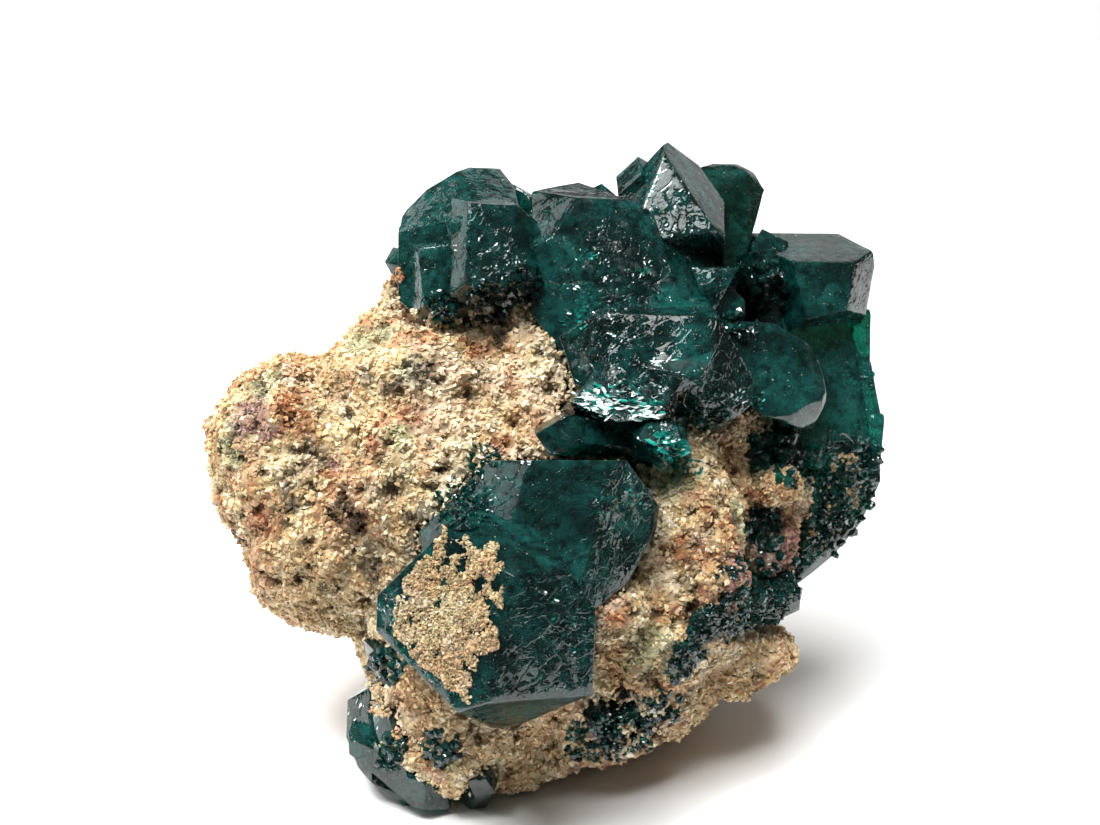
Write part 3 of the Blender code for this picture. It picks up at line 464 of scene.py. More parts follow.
class Nodes:
    """Short ways to add nodes to a material and to link them."""

    def __init__(self, name):
        self.material = bpy.data.materials.new(name)
        self.material.use_nodes = True
        self.tree = self.material.node_tree
        self.surface = self.tree.nodes["Principled BSDF"]
        self.output = self.tree.nodes["Material Output"]

    def add(self, kind, settings=(), **inputs):
        node = self.tree.nodes.new(kind)
        for key, value in dict(settings).items():
            setattr(node, key, value)
        for key, value in inputs.items():
            self.feed(node.inputs[key.replace("_", " ")], value)
        return node

    def feed(self, socket, value):
        if isinstance(value, bpy.types.NodeSocket):
            self.tree.links.new(value, socket)
        else:
            socket.default_value = value

    def shade(self, **inputs):
        """Sets or links inputs of the surface shader."""
        for key, value in inputs.items():
            self.feed(self.surface.inputs[key.replace("_", " ")], value)

    def position(self):
        return self.add("ShaderNodeTexCoord").outputs["Object"]

    def noise(self, scale, detail, roughness=0.55):
        """Noise whose features are about 1/scale mm wide, as a number from 0 to 1."""
        size = {"Scale": scale / MM, "Detail": detail, "Roughness": roughness}
        return self.add("ShaderNodeTexNoise", Vector=self.position(), **size).outputs["Fac"]

    def kept(self, name):
        return self.add("ShaderNodeAttribute", {"attribute_name": name}).outputs["Fac"]

    def pair(self, node, first, second):
        """Feeds the first two inputs of a node."""
        self.feed(node.inputs[0], first)
        self.feed(node.inputs[1], second)
        return node

    def sum(self, kind, first, second):
        node = self.add("ShaderNodeMath", {"operation": kind})
        return self.pair(node, first, second).outputs[0]

    def vector(self, kind, first, second):
        node = self.add("ShaderNodeVectorMath", {"operation": kind})
        outputs = self.pair(node, first, second).outputs
        return outputs["Value"] if kind == "DOT_PRODUCT" else outputs[0]

    def scaled(self, value, share):
        return self.sum("MULTIPLY", value, share)

    def ramp(self, value, stops):
        node = self.add("ShaderNodeValToRGB", Fac=value)
        elements = node.color_ramp.elements
        while len(elements) < len(stops):
            elements.new(0.5)
        for element, (place, colour) in zip(elements, stops):
            element.position = place
            element.color = (*colour, 1)
        return node.outputs["Color"]

    def span(self, value, low, high, to_low=0.0, to_high=1.0):
        node = self.add("ShaderNodeMapRange")
        node.clamp = True
        for place, number in enumerate((value, low, high, to_low, to_high)):
            self.feed(node.inputs[place], number)
        return node.outputs[0]

    def mix(self, share, first, second, blend="MIX"):
        node = self.add("ShaderNodeMix", {"data_type": "RGBA", "blend_type": blend})
        self.feed(node.inputs[0], share)
        for socket, value in ((node.inputs[6], first), (node.inputs[7], second)):
            self.feed(socket, value if isinstance(value, bpy.types.NodeSocket) else (*value, 1))
        return node.outputs[2]

    def facets(self, scale, slope):
        """Height, in mm, of flat steps about 1/scale mm wide, each tilted a way of its own."""
        place = self.position()
        cell = self.add("ShaderNodeTexVoronoi", Vector=place, Scale=scale / MM)
        step = self.vector("SUBTRACT", place, cell.outputs["Position"])
        tilt = self.vector("SUBTRACT", cell.outputs["Color"], (0.5, 0.5, 0.5))
        return self.scaled(self.vector("DOT_PRODUCT", step, tilt), 2 * slope / MM)

    def cracks(self, scale, width, depth):
        """Depth, in mm, of a net of narrow cracks around cells about 1/scale mm wide."""
        often, far = CRACK_WANDER
        wander = self.scaled(self.noise(often, 1.0), far * MM)
        place = self.vector("ADD", self.position(), wander)
        to_edge = {"feature": "DISTANCE_TO_EDGE"}
        cell = self.add("ShaderNodeTexVoronoi", to_edge, Vector=place, Scale=scale / MM)
        return self.span(cell.outputs["Distance"], 0.0, width * scale, -depth, 0.0)

    def bump(self, height, distance=1.0):
        """Bump of a height given in steps of `distance` mm."""
        return self.add("ShaderNodeBump", Height=height, Distance=distance * MM).outputs["Normal"]


def rock_material():
    """Cream, tan, salmon and rust carbonate grains, with dark, purple and greenish places, and
    painted shade in pits and low places.
    """
    n = Nodes("rock")
    broad = n.span(n.noise(0.42, 3.0, 0.65), 0.36, 0.64)
    hue = n.sum("ADD", n.scaled(broad, 1 - TONE_SHARE), n.scaled(n.kept("tone"), TONE_SHARE))
    salmon = n.span(n.noise(0.24, 3.0, 0.65), 0.49, 0.60)
    colour = n.mix(n.scaled(salmon, SALMON[0]), n.ramp(hue, ROCK_COLOURS), SALMON[1])
    speckle = n.span(n.noise(1.6, 2.0), 0.35, 0.55, 0.35, 1.0)
    for kind, share, shade in PATCH_COLOURS:
        amount = n.scaled(n.kept(kind), speckle)
        colour = n.mix(n.scaled(amount, share), colour, shade)
    # Painted shade: pits and low places of the rock are made darker, down to HOLLOW_SHADE.
    hollow = n.span(n.kept("hollow"), 0.0, 1.0, 1.0, HOLLOW_SHADE)
    shade = n.scaled(n.span(n.kept("grain"), 0.0, 1.0, *GRAIN_SHADE), hollow)
    grey = n.add("ShaderNodeCombineColor", Red=shade, Green=shade, Blue=shade).outputs[0]
    rough = n.span(n.noise(3.0, 1.0), 0.3, 0.7, *ROCK_ROUGHNESS)
    n.shade(Base_Color=n.mix(1.0, colour, grey, "MULTIPLY"), Roughness=rough)
    return n.material


def crystal_material(name, density):
    """Deep green, see-through and slightly cloudy dioptase with etched places."""
    n = Nodes(name)
    broad = n.span(n.noise(0.30, 2.0, 0.6), 0.36, 0.66)
    mottled = n.span(n.noise(1.5, 3.0, 0.7), 0.36, 0.68)
    cloud = n.scaled(n.sum("ADD", broad, 0.20), mottled)
    clearer = n.scaled(n.kept("clearer"), n.span(mottled, 0.0, 1.0, 0.25, 1.0))
    n.shade(Base_Color=n.mix(n.sum("ADD", cloud, clearer), *CLOUD_COLOURS))
    n.shade(Transmission_Weight=CLEARNESS, IOR=DIOPTASE_IOR)
    etched = n.kept("etched")
    polish = n.span(n.noise(0.9, 1.0, 0.6), 0.35, 0.75, *POLISH)
    n.shade(Roughness=n.sum("ADD", polish, n.scaled(etched, ETCHED_ROUGHNESS)))
    often, height = FINE_RELIEF
    steps = n.sum("ADD", *(n.facets(*size) for size in FACETS))
    steps = n.sum("ADD", steps, n.scaled(n.noise(often, 2.0, 0.65), height))
    steps = n.scaled(steps, n.span(etched, 0.0, 1.0, PLAIN_RELIEF, 1.0))
    cracks = n.scaled(n.cracks(*CRACKS), n.span(etched, 0.0, 1.0, PLAIN_CRACKS, 1.0))
    n.shade(Normal=n.bump(n.sum("ADD", steps, cracks)))
    inside = n.add("ShaderNodeVolumeAbsorption", Color=(*DIOPTASE_TINT, 1), Density=density)
    n.tree.links.new(inside.outputs[0], n.output.inputs["Volume"])
    return n.material


def fracture_material():
    """Open fractures and splinters that throw the light back; their white and teal are painted
    reflection, the teal standing for light that has passed through the green crystal.
    """
    n = Nodes("fracture")
    n.shade(Base_Color=n.mix(n.kept("teal"), *PAINTED_GLINT_COLOURS), Metallic=FRACTURE_METALLIC)
    n.shade(Roughness=n.span(n.noise(2.0, 2.0), 0.3, 0.7, *FRACTURE_ROUGHNESS))
    n.shade(Normal=n.bump(n.noise(5.0, 3.0), 0.03))
    return n.material


def remeshed(mesh, voxel):
    """A copy of a mesh with even faces about `voxel` mm wide."""
    holder = linked("helper", mesh.copy())
    change = holder.modifiers.new("even", "REMESH")
    change.mode = "VOXEL"
    change.voxel_size = voxel * MM
    shown = holder.evaluated_get(bpy.context.evaluated_depsgraph_get())
    result = bpy.data.meshes.new_from_object(shown)
    bpy.data.objects.remove(holder)
    return result


def gap_to(tree, point, normal, reach):
    """How far a crystal is from a point of the rock, straight out, or `reach` if it's further."""
    start = Vector(point)
    found = tree.ray_cast(start + Vector(normal) * 0.02, Vector(normal), reach)
    return reach if found[0] is None else found[3]


def raised(mesh, points, normals, lift):
    """Moves each vertex by `lift` mm along its normal, but not through the floor."""
    moved = points + normals * lift[:, None]
    moved[:, 2] = np.maximum(moved[:, 2], 0)
    mesh.vertices.foreach_set("co", (moved * MM).astype(np.float32).ravel())
    mesh.update()


def cells(points, cell):
    """How far each point is from the nearest middle of a net of random cells."""
    return np.array([noise.voronoi(Vector(point) * cell)[0][0] for point in points])


def scattered(mesh, count, rng):
    """Points spread evenly over a mesh, with the normals of their triangles."""
    corners = points_of(mesh)[triangles_of(mesh)]
    across = np.cross(corners[:, 1] - corners[:, 0], corners[:, 2] - corners[:, 0])
    size = np.linalg.norm(across, axis=1)
    chosen = rng.choice(len(corners), count, p=size / size.sum())
    one, two = rng.random((2, count))
    one, two = np.where(one + two > 1, (1 - one, 1 - two), (one, two))
    corner = corners[chosen]
    points = (
        corner[:, 0]
        + one[:, None] * (corner[:, 1] - corner[:, 0])
        + two[:, None] * (corner[:, 2] - corner[:, 0])
    )
    return points, across[chosen] / size[chosen, None]


def exposed(points, normals, crystal_tree):
    """Which points of the rock lie in the open, and not in the socket of a crystal."""
    return np.array(
        [
            point[2] > 0.25 and gap_to(crystal_tree, point, normal, SOCKET_REACH) == SOCKET_REACH
            for point, normal in zip(points, normals)
        ]
    )


def place_of(tree, across, up):
    """The part's surface, or else the photograph's plane, at (across, up)."""
    centre, _ = seen_at(tree, across, up)
    return np.array(placed(across, up) if centre is None else centre)


def patch_places(rock_tree):
    """The patches as kind, centre in the part's axes, and radius."""
    return [
        (kind, place_of(rock_tree, across, up), radius)
        for kind, spots in PATCHES.items()
        for across, up, radius in spots
    ]


def wobble(points, frequency, octaves=2):
    """Smooth noise from -1 to 1 at each point. Its waves are 1/frequency mm long."""
    return np.array(
        [noise.fractal(Vector(point) * frequency, 0.8, 2.0, octaves) for point in points]
    )


def paint(mesh, at, patches, crystal_tree, **given):
    """Keeps on a mesh the numbers that colour it, worked out at the places `at`.

    Each place stands for as many vertices as the others. What is given by name is kept as it is.
    """
    edge = wobble(at, 1.1, 3)
    values = {kind: np.zeros(len(at)) for kind in PATCHES}
    for kind, centre, radius in patches:
        far = np.linalg.norm(at - centre, axis=1) / radius + 0.55 * edge
        values[kind] = np.maximum(values[kind], np.clip((1.25 - far) / 0.5, 0, 1))
    if "rim" not in given:
        near = [crystal_tree.find_nearest(Vector(point), 2.0)[3] or 2.0 for point in at]
        values["rim"] = np.clip((1.1 - np.array(near) + 0.6 * edge) / 0.6, 0, 1)
    values.update(given)
    for name, rows in values.items():
        rows = np.broadcast_to(rows, len(at))
        attribute(mesh, name, np.repeat(rows, len(mesh.vertices) // len(at)))


def weathered(mesh, crystal_tree, rng):
    """Gives the rock its lumps and pits. Returns, at each vertex, how much painted shade darkens
    its pits and low places.
    """
    points, normals = points_of(mesh), normals_of(mesh)
    open_spots, open_normals = scattered(mesh, PIT_COUNT * 3, rng)
    open_spots = open_spots[exposed(open_spots, open_normals, crystal_tree)][:PIT_COUNT]
    radii = rng.uniform(*PIT_RADIUS, len(open_spots))
    lift = sum(size * wobble(points, frequency) for frequency, size in ROCK_RELIEF)
    cell, depth = ROCK_CELLS
    lift = lift + depth * (0.45 - cells(points, cell))
    low = np.clip(-lift / 0.45, 0, 1)
    reach, left = ROOM
    room = np.array([gap_to(crystal_tree, *row, reach) for row in zip(points, normals)])
    lift = np.where(room < reach, np.minimum(lift, room - left), lift)
    pit, ragged = np.zeros(len(points)), wobble(points, 1.6)
    for centre, radius in zip(open_spots, radii):
        stretch = rng.uniform(0.6, 1.6, 3)
        far = np.linalg.norm((points - centre) * stretch, axis=1) / radius + 0.35 * ragged
        pit = np.maximum(pit, np.clip(1 - far**2, 0, 1) * radius / PIT_RADIUS[1])
    lift = lift - PIT_DEPTH * pit
    raised(mesh, points, normals, lift * np.clip(points[:, 2] / 0.8, 0, 1))
    return np.clip(1.5 * pit + 0.45 * low, 0, 1)


def random_turns(count, rng):
    """Rotation matrices that point every way equally often."""
    q = rng.normal(size=(count, 4))
    q /= np.linalg.norm(q, axis=1)[:, None]
    w, x, y, z = q.T
    rows = (
        (1 - 2 * (y * y + z * z), 2 * (x * y - z * w), 2 * (x * z + y * w)),
        (2 * (x * y + z * w), 1 - 2 * (x * x + z * z), 2 * (y * z - x * w)),
        (2 * (x * z - y * w), 2 * (y * z + x * w), 1 - 2 * (x * x + y * y)),
    )
    return np.moveaxis(np.array(rows), 2, 0)


CRUMB_CORNERS = np.array(
    ((1, 0, 0), (-1, 0, 0), (0, 1, 0), (0, -1, 0), (0, 0, 1), (0, 0, -1)), float
)
CRUMB_FACES = np.array(
    ((0, 2, 4), (2, 1, 4), (1, 3, 4), (3, 0, 4), (2, 0, 5), (1, 2, 5), (3, 1, 5), (0, 3, 5))
)


def repeated(faces, corners, count):
    """The faces of `count` copies of a shape with so many corners."""
    return (faces[None] + corners * np.arange(count)[:, None, None]).reshape(-1, 3)


def mostly_small(sizes, power, count, rng):
    """Random sizes between two limits, most of them near the lower one."""
    low, high = sizes
    return low + (high - low) * rng.random(count) ** power


def crumbs(name, places, sizes, rng):
    """Small angular grains, one at each place, turned at random and each a little different."""
    count = len(places)
    shapes = CRUMB_CORNERS[None] * rng.uniform(0.55, 1.0, (count, 1, 3))
    shapes = shapes + rng.uniform(-0.30, 0.30, (count, 6, 3))
    shapes = shapes * (sizes / 2)[:, None, None]
    turned = np.einsum("nij,nkj->nki", random_turns(count, rng), shapes)
    points = (turned + places[:, None]).reshape(-1, 3)
    return mesh_from(name, points, repeated(CRUMB_FACES, 6, count))


def crystal_places(crystal_tree, spots):
    """Spots on the crystals as centre in the part's axes, radius and amount."""
    return [
        (place_of(crystal_tree, across, up), radius, amount)
        for across, up, radius, amount in spots
    ]


def worn(cad_mesh, places, rounded):
    """A copy of a crystal group with bevelled edges and a fine, even mesh on its faces."""
    bm = bmesh.new()
    bm.from_mesh(cad_mesh)
    bmesh.ops.scale(bm, vec=(1 / MM,) * 3, verts=bm.verts)
    bmesh.ops.remove_doubles(bm, verts=bm.verts, dist=EDGE_WELD)
    bmesh.ops.dissolve_degenerate(bm, dist=SHORTEST_EDGE, edges=bm.edges)
    bmesh.ops.dissolve_limit(bm, angle_limit=FLAT_ANGLE, verts=bm.verts, edges=bm.edges)
    edges = [e for e in bm.edges if e.is_manifold and e.calc_face_angle_signed(0) > EDGE_ANGLE]
    shape = {"segments": 2, "profile": 0.5, "clamp_overlap": False}
    bmesh.ops.bevel(bm, geom=edges, offset=EDGE_BEVEL, affect="EDGES", **shape)
    bmesh.ops.triangulate(bm, faces=bm.faces)
    spots = [(Vector(centre), radius * 1.05) for centre, radius, _ in places + rounded]

    def allowed(edge):
        middle = (edge.verts[0].co + edge.verts[1].co) / 2
        near = any((middle - centre).length < radius for centre, radius in spots)
        return ETCHED_MESH if near else FACE_MESH

    for _ in range(MESH_ROUNDS):
        long = [e for e in bm.edges if e.calc_length() > allowed(e)]
        if not long:
            break
        bmesh.ops.subdivide_edges(bm, edges=long, cuts=1)
        bmesh.ops.triangulate(bm, faces=[f for f in bm.faces if len(f.verts) > 3])
    soft = [
        v for v in bm.verts if any((v.co - Vector(c)).length < radius for c, radius, _ in rounded)
    ]
    axes = {"use_axis_x": True, "use_axis_y": True, "use_axis_z": True}
    for _ in range(ROUNDING_STEPS):
        bmesh.ops.smooth_vert(bm, verts=soft, factor=0.5, **axes)
    bmesh.ops.recalc_face_normals(bm, faces=bm.faces)
    for face in bm.faces:
        face.smooth = True
    for edge in bm.edges:
        edge.smooth = not edge.is_manifold or edge.calc_face_angle_signed(0) > CREASE_ANGLE
    bmesh.ops.scale(bm, vec=(MM,) * 3, verts=bm.verts)
    mesh = bpy.data.meshes.new(cad_mesh.name)
    bm.to_mesh(mesh)
    bm.free()
    return mesh


def slabs():
    """The slabs along the right side, as one mesh with bevelled edges."""
    bm = bmesh.new()
    for middle, (wide, high, deep), turn in SLABS:
        made = bmesh.ops.create_cube(bm, size=2)["verts"]
        for v in made:
            narrow = 0.82 if v.co.y * v.co.x > 0 else 1.0
            across, up = v.co.x * wide * narrow, v.co.y * high * (0.9 if v.co.z > 0 else 1.0)
            sine, cosine = math.sin(math.radians(turn)), math.cos(math.radians(turn))
            v.co = placed(*middle) + towards(
                across * cosine - up * sine, across * sine + up * cosine, v.co.z * deep
            )
    bmesh.ops.bevel(bm, geom=bm.edges[:], offset=0.5, segments=2, profile=0.6, affect="EDGES")
    mesh = bpy.data.meshes.new("slabs")
    bm.to_mesh(mesh)
    bm.free()
    return mesh


def amount_at(points, places, edge):
    """How much the nearest of some places touches each point, from 0 to 1."""
    amount = np.zeros(len(points))
    for centre, radius, share in places:
        far = np.linalg.norm(points - centre, axis=1) / radius + 0.4 * edge
        amount = np.maximum(amount, share * np.clip((1.15 - far) / 0.4, 0, 1))
    return amount


def etch(mesh, etched, clearer):
    """Waves the faces of a crystal group a little, and roughens its etched places."""
    points, normals = points_of(mesh), normals_of(mesh)
    edge = wobble(points, 0.7, 3)
    amount = amount_at(points, etched, edge)
    frequency, size = FACE_WAVE
    lift = size * wobble(points, frequency)
    rough = sum(height * wobble(points, often) for often, height in ETCH_WAVES)
    often, height = ETCH_CELLS
    lift = lift + amount * (rough + height * (0.4 - cells(points, often)))
    raised(mesh, points, normals, lift)
    attribute(mesh, "etched", amount)
    attribute(mesh, "clearer", amount_at(points, clearer, edge))


def disc_draw(radius, rng):
    """A random angle and distance that spread places evenly over a disc."""
    return rng.uniform(0, 2 * math.pi), radius * math.sqrt(rng.random())


def disc_spot(across, up, radius, rng):
    """A random spot near (across, up), and how far it is from there."""
    angle, far = disc_draw(radius, rng)
    return (across + far * math.cos(angle), up + far * math.sin(angle)), far


def is_inside(tree, point, margin):
    """Whether a point lies in a crystal, and at least `margin` under its surface."""
    near, normal, _, far = tree.find_nearest(point)
    return far > margin and (point - near).dot(normal) < 0


FLAKE_FACES = np.array(((0, 1, 2), (0, 2, 3), (0, 3, 4), (0, 4, 5)))


def flakes(name, rows, rng):
    """Small six-cornered sheets, each with an outline of its own.

    Each row is a centre, the way the sheet faces, its size, its long side, its stretch, and
    how teal its painted reflection is.
    """
    count = len(rows)
    columns = (np.array(column, float) for column in zip(*rows))
    centres, ways, sizes, side, stretch, teal = columns
    ways /= np.linalg.norm(ways, axis=1)[:, None]
    up = np.cross(ways, side)
    up /= np.linalg.norm(up, axis=1)[:, None]
    side = np.cross(up, ways)
    angles = np.arange(6) * math.pi / 3 + rng.uniform(-0.35, 0.35, (count, 6))
    reach = sizes[:, None] / 2 * rng.uniform(0.45, 1.1, (count, 6))
    narrow = 1 / (stretch[:, None] * rng.uniform(0.7, 1.3, (count, 1)))
    bend = rng.uniform(-0.08, 0.08, (count, 6)) * sizes[:, None]
    points = (
        centres[:, None]
        + side[:, None] * (reach * np.cos(angles))[..., None]
        + up[:, None] * (narrow * reach * np.sin(angles))[..., None]
        + ways[:, None] * bend[..., None]
    )
    mesh = mesh_from(name, points.reshape(-1, 3), repeated(FLAKE_FACES, 6, count))
    attribute(mesh, "teal", np.repeat(teal, 6))
    return mesh


def veils(bodies, crystal_tree, rng):
    """The flakes of all fracture sheets inside the crystals."""
    starts, normals = [], []
    faces = sum(len(mesh.polygons) for mesh in bodies)
    for mesh in bodies:
        share = max(1, int(VEIL_COUNT * len(mesh.polygons) / faces))
        spots, ways = scattered(mesh, share, rng)
        starts.append(spots)
        normals.append(ways)
    rows = []
    for start, normal in zip(np.vstack(starts), np.vstack(normals)):
        middle = start - normal * rng.uniform(*VEIL_DEPTH)
        if not is_inside(crystal_tree, Vector(middle), 0.2):
            continue
        way = rng.normal(size=3)
        way /= np.linalg.norm(way)
        side = np.cross(way, rng.normal(size=3))
        side /= np.linalg.norm(side)
        up = np.cross(way, side)
        reach = rng.uniform(*VEIL_RADIUS)
        for _ in range(VEIL_FLAKES):
            angle, far = disc_draw(reach, rng)
            spot = middle + side * far * math.cos(angle) + up * far * math.sin(angle)
            size = rng.uniform(*FLAKE_SIZE)
            if is_inside(crystal_tree, Vector(spot), 0.12 + size / 2):
                lean = way + rng.normal(size=3) * 0.12
                rows.append((spot, lean, size, side, FLAKE_STRETCH, VEIL_TEAL))
    return rows


def glints(surface_tree, rng):
    """The flakes of the places that glint, on and just under the surface."""
    rows = []
    bright = np.array((towards(0, 0, 1) + Vector((0, 0, 1))).normalized())
    for middle, (wide, high), turn, depths, count, largest, stretch, spread, teal in GLINTS:
        sine, cosine = math.sin(math.radians(turn)), math.cos(math.radians(turn))
        long_side = np.array(towards(cosine, sine, 0))
        lean = bright + rng.normal(size=3) * 0.10
        for _ in range(count):
            angle, far = disc_draw(1.0, rng)
            along, aside = wide * far * math.cos(angle), high * far * math.sin(angle)
            across = middle[0] + along * cosine - aside * sine
            up = middle[1] + along * sine + aside * cosine
            point, _ = seen_at(surface_tree, across, up)
            if point is None or point.z < 0.5:
                continue
            spot = point + (point - EYE).normalized() * rng.uniform(*depths)
            way = lean + rng.normal(size=3) * spread
            side = long_side + rng.normal(size=3) * 0.22
            size = largest * rng.uniform(0.25, 1.0) ** 1.4
            rows.append((np.array(spot), way, size, side, stretch, float(rng.random() < teal)))
    return rows


def inside_outline(across, up, corners):
    """Whether (across, up) lies inside an outline."""
    inside = False
    for (a, b), (c, d) in zip(corners, corners[1:] + corners[:1]):
        if (b > up) != (d > up) and across < (c - a) * (up - b) / (d - b) + a:
            inside = not inside
    return inside


def coat_places(crystal_tree, rng):
    """Places of the sandy grains on the front crystal: dense in the middle, ragged at the edge."""
    low, high = np.min(COAT, axis=0), np.max(COAT, axis=0)
    places = []
    while len(places) < COAT_GRAINS:
        across, up = rng.uniform(low - 0.5, high + 0.5)
        ragged = Vector((across * 1.1, up * 1.1, 3.0))
        shift_a, shift_u = noise.noise(ragged) * 0.9, noise.noise(ragged + Vector((9, 9, 9))) * 0.9
        if not inside_outline(across + shift_a, up + shift_u, COAT):
            continue
        gap = noise.noise(Vector((across * 1.3, up * 1.3, 7.0)))
        gap += noise.noise(Vector((across * 0.45, up * 0.45, 4.0)))
        if gap < -0.02 - 0.55 * rng.random():
            continue
        point, normal = seen_at(crystal_tree, across, up)
        if point is not None:
            places.append(np.array(point + normal * rng.uniform(-0.05, 0.12)))
    return np.array(places)


def is_open(tree, point, normal):
    """Whether a point on a surface can be seen from one of the ways around the specimen."""
    start = Vector(point) + Vector(normal) * 0.05
    return any(tree.ray_cast(start, Vector(way))[0] is None for way in OUTSIDE)


def crust_places(surfaces, others, whole_tree, rng):
    """Places on some surfaces that lie close to other ones and can be seen from outside."""
    size = sum(len(mesh.polygons) for mesh in surfaces)
    places = []
    for mesh in surfaces:
        points, normals = scattered(mesh, int(CRUST_TRIES * len(mesh.polygons) / size), rng)
        for point, normal in zip(points, normals):
            near, _, _, far = others.find_nearest(Vector(point), CRUST_REACH)
            if near is None or point[2] < 0.5 or far > CRUST_REACH * rng.uniform(0.4, 1.0):
                continue
            if is_open(whole_tree, point, normal):
                places.append(point + (np.array(near) - point) * rng.uniform(0.0, 0.8))
    return places


def sprinkled(surface_tree, across, up, radius, count, rng):
    """Places of rock grains around (across, up) on whatever surface shows there."""
    places = []
    for _ in range(count):
        spot, far = disc_spot(across, up, radius, rng)
        ragged = noise.noise(Vector((spot[0] * 1.5, spot[1] * 1.5, 5.0)))
        if ragged < 0.9 * far / radius - 0.50:
            continue
        point, normal = seen_at(surface_tree, *spot)
        if point is not None and point.z > 0.5:
            places.append(np.array(point + normal * rng.uniform(-0.08, 0.16)))
    return np.array(places).reshape(-1, 3)


PRISM_FACES = np.array(
    [(i, (i + 1) % 6, 6 + (i + 1) % 6) for i in range(6)]
    + [(i, 6 + (i + 1) % 6, 6 + i) for i in range(6)]
    + [(6 + i, 6 + (i + 1) % 6, 12) for i in range(6)]
    + [(0, i + 1, i) for i in range(1, 5)]
)


def prisms(name, roots, ways, lengths, rng):
    """Small six-sided crystals with pointed ends, standing along `ways`."""
    count = len(roots)
    side = np.cross(ways, rng.normal(size=(count, 3)))
    side /= np.linalg.norm(side, axis=1)[:, None]
    up = np.cross(ways, side)
    width = lengths[:, None] * rng.uniform(0.26, 0.42, (count, 1))
    angles = np.arange(6)[None] * math.pi / 3
    ring = rng.uniform(0.8, 1.15, (count, 6)) * width
    around = (
        side[:, None] * (ring * np.cos(angles))[..., None]
        + up[:, None] * (ring * np.sin(angles))[..., None]
    )
    along = ways[:, None] * lengths[:, None, None]
    rough = rng.uniform(-0.06, 0.06, (count, 6, 1))
    foot = roots[:, None] + around - 0.45 * along
    shoulder = roots[:, None] + around + (0.25 + rough) * along
    lean = rng.normal(size=(count, 1, 3)) * 0.06 * lengths[:, None, None]
    tip = roots[:, None] + 0.55 * along + lean
    points = np.concatenate((foot, shoulder, tip), axis=1).reshape(-1, 3)
    return mesh_from(name, points, repeated(PRISM_FACES, 13, count))


def druse_places(whole_tree, rng):
    """Roots, directions and lengths of the small crystals."""
    roots, ways, lengths = [], [], []
    for across, up, radius, count, span in DRUSES:
        for _ in range(count):
            spot, _ = disc_spot(across, up, radius, rng)
            point, normal = seen_at(whole_tree, *spot)
            if point is None or point.z < 0.6:
                continue
            way = np.array(normal) + rng.normal(size=3) * 0.45
            roots.append(np.array(point))
            ways.append(way / np.linalg.norm(way))
            lengths.append(rng.uniform(*span))
    return np.array(roots), np.array(ways), np.array(lengths)


def show_rock(nodes, crystal_tree, rock, rng):
    """Shows the rock and the grains all over it. Returns the rock's mesh."""
    ground = remeshed(nodes["rock_matrix"].data, ROCK_VOXEL)
    hollow = weathered(ground, crystal_tree, rng)
    patches = patch_places(tree_of(ground))
    paint(ground, points_of(ground), patches, crystal_tree, **BARE_ROCK, hollow=hollow)
    shown = piece("rock", ground, rock)
    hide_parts("rock_matrix")

    depths = KDTree(len(ground.vertices))
    for number, point in enumerate(points_of(ground)):
        depths.insert(point, number)
    depths.balance()
    wanted = GRAINS_PER_MESH * GRAIN_MESHES
    spots, ways = scattered(ground, int(wanted * GRAIN_TRIES), rng)
    keep = exposed(spots, ways, crystal_tree)
    spots, ways = spots[keep][:wanted], ways[keep][:wanted]
    for number, part in enumerate(np.array_split(np.arange(len(spots)), GRAIN_MESHES), 1):
        at = spots[part]
        sizes = mostly_small(GRAIN_SIZE, GRAIN_POWER, len(part), rng)
        grains = crumbs(f"grains_{number}", at + ways[part] * 0.1 * sizes[:, None], sizes, rng)
        grain, tone = rng.random(len(part)), rng.random(len(part))
        # Each grain takes the painted shade of the rock under it.
        under = hollow[[depths.find(point)[1] for point in at]]
        paint(grains, at, patches, crystal_tree, grain=grain, tone=tone, hollow=under)
        piece(f"grains_{number}", grains, rock)
    return ground


def show_crystals(nodes, crystals, crystal_tree, glass):
    """Shows the crystal groups and the slabs at the right. Returns their meshes."""
    etched = crystal_places(crystal_tree, ETCHED)
    clearer = crystal_places(crystal_tree, CLEARER)
    rounded = crystal_places(crystal_tree, [(*spot, 1.0) for spot in ROUNDED])
    bodies = []
    for name in crystals:
        mesh = worn(nodes[name].data, etched, rounded)
        etch(mesh, etched, clearer)
        body = piece(name + "_body", mesh, glass)
        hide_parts(name)
        bodies.append(mesh)
    wall = slabs()
    wall.transform(Matrix.Scale(MM, 4))
    wall = worn(wall, etched, [])
    etch(wall, etched, clearer)
    piece("right_wall", wall, glass)
    return [*bodies, wall]


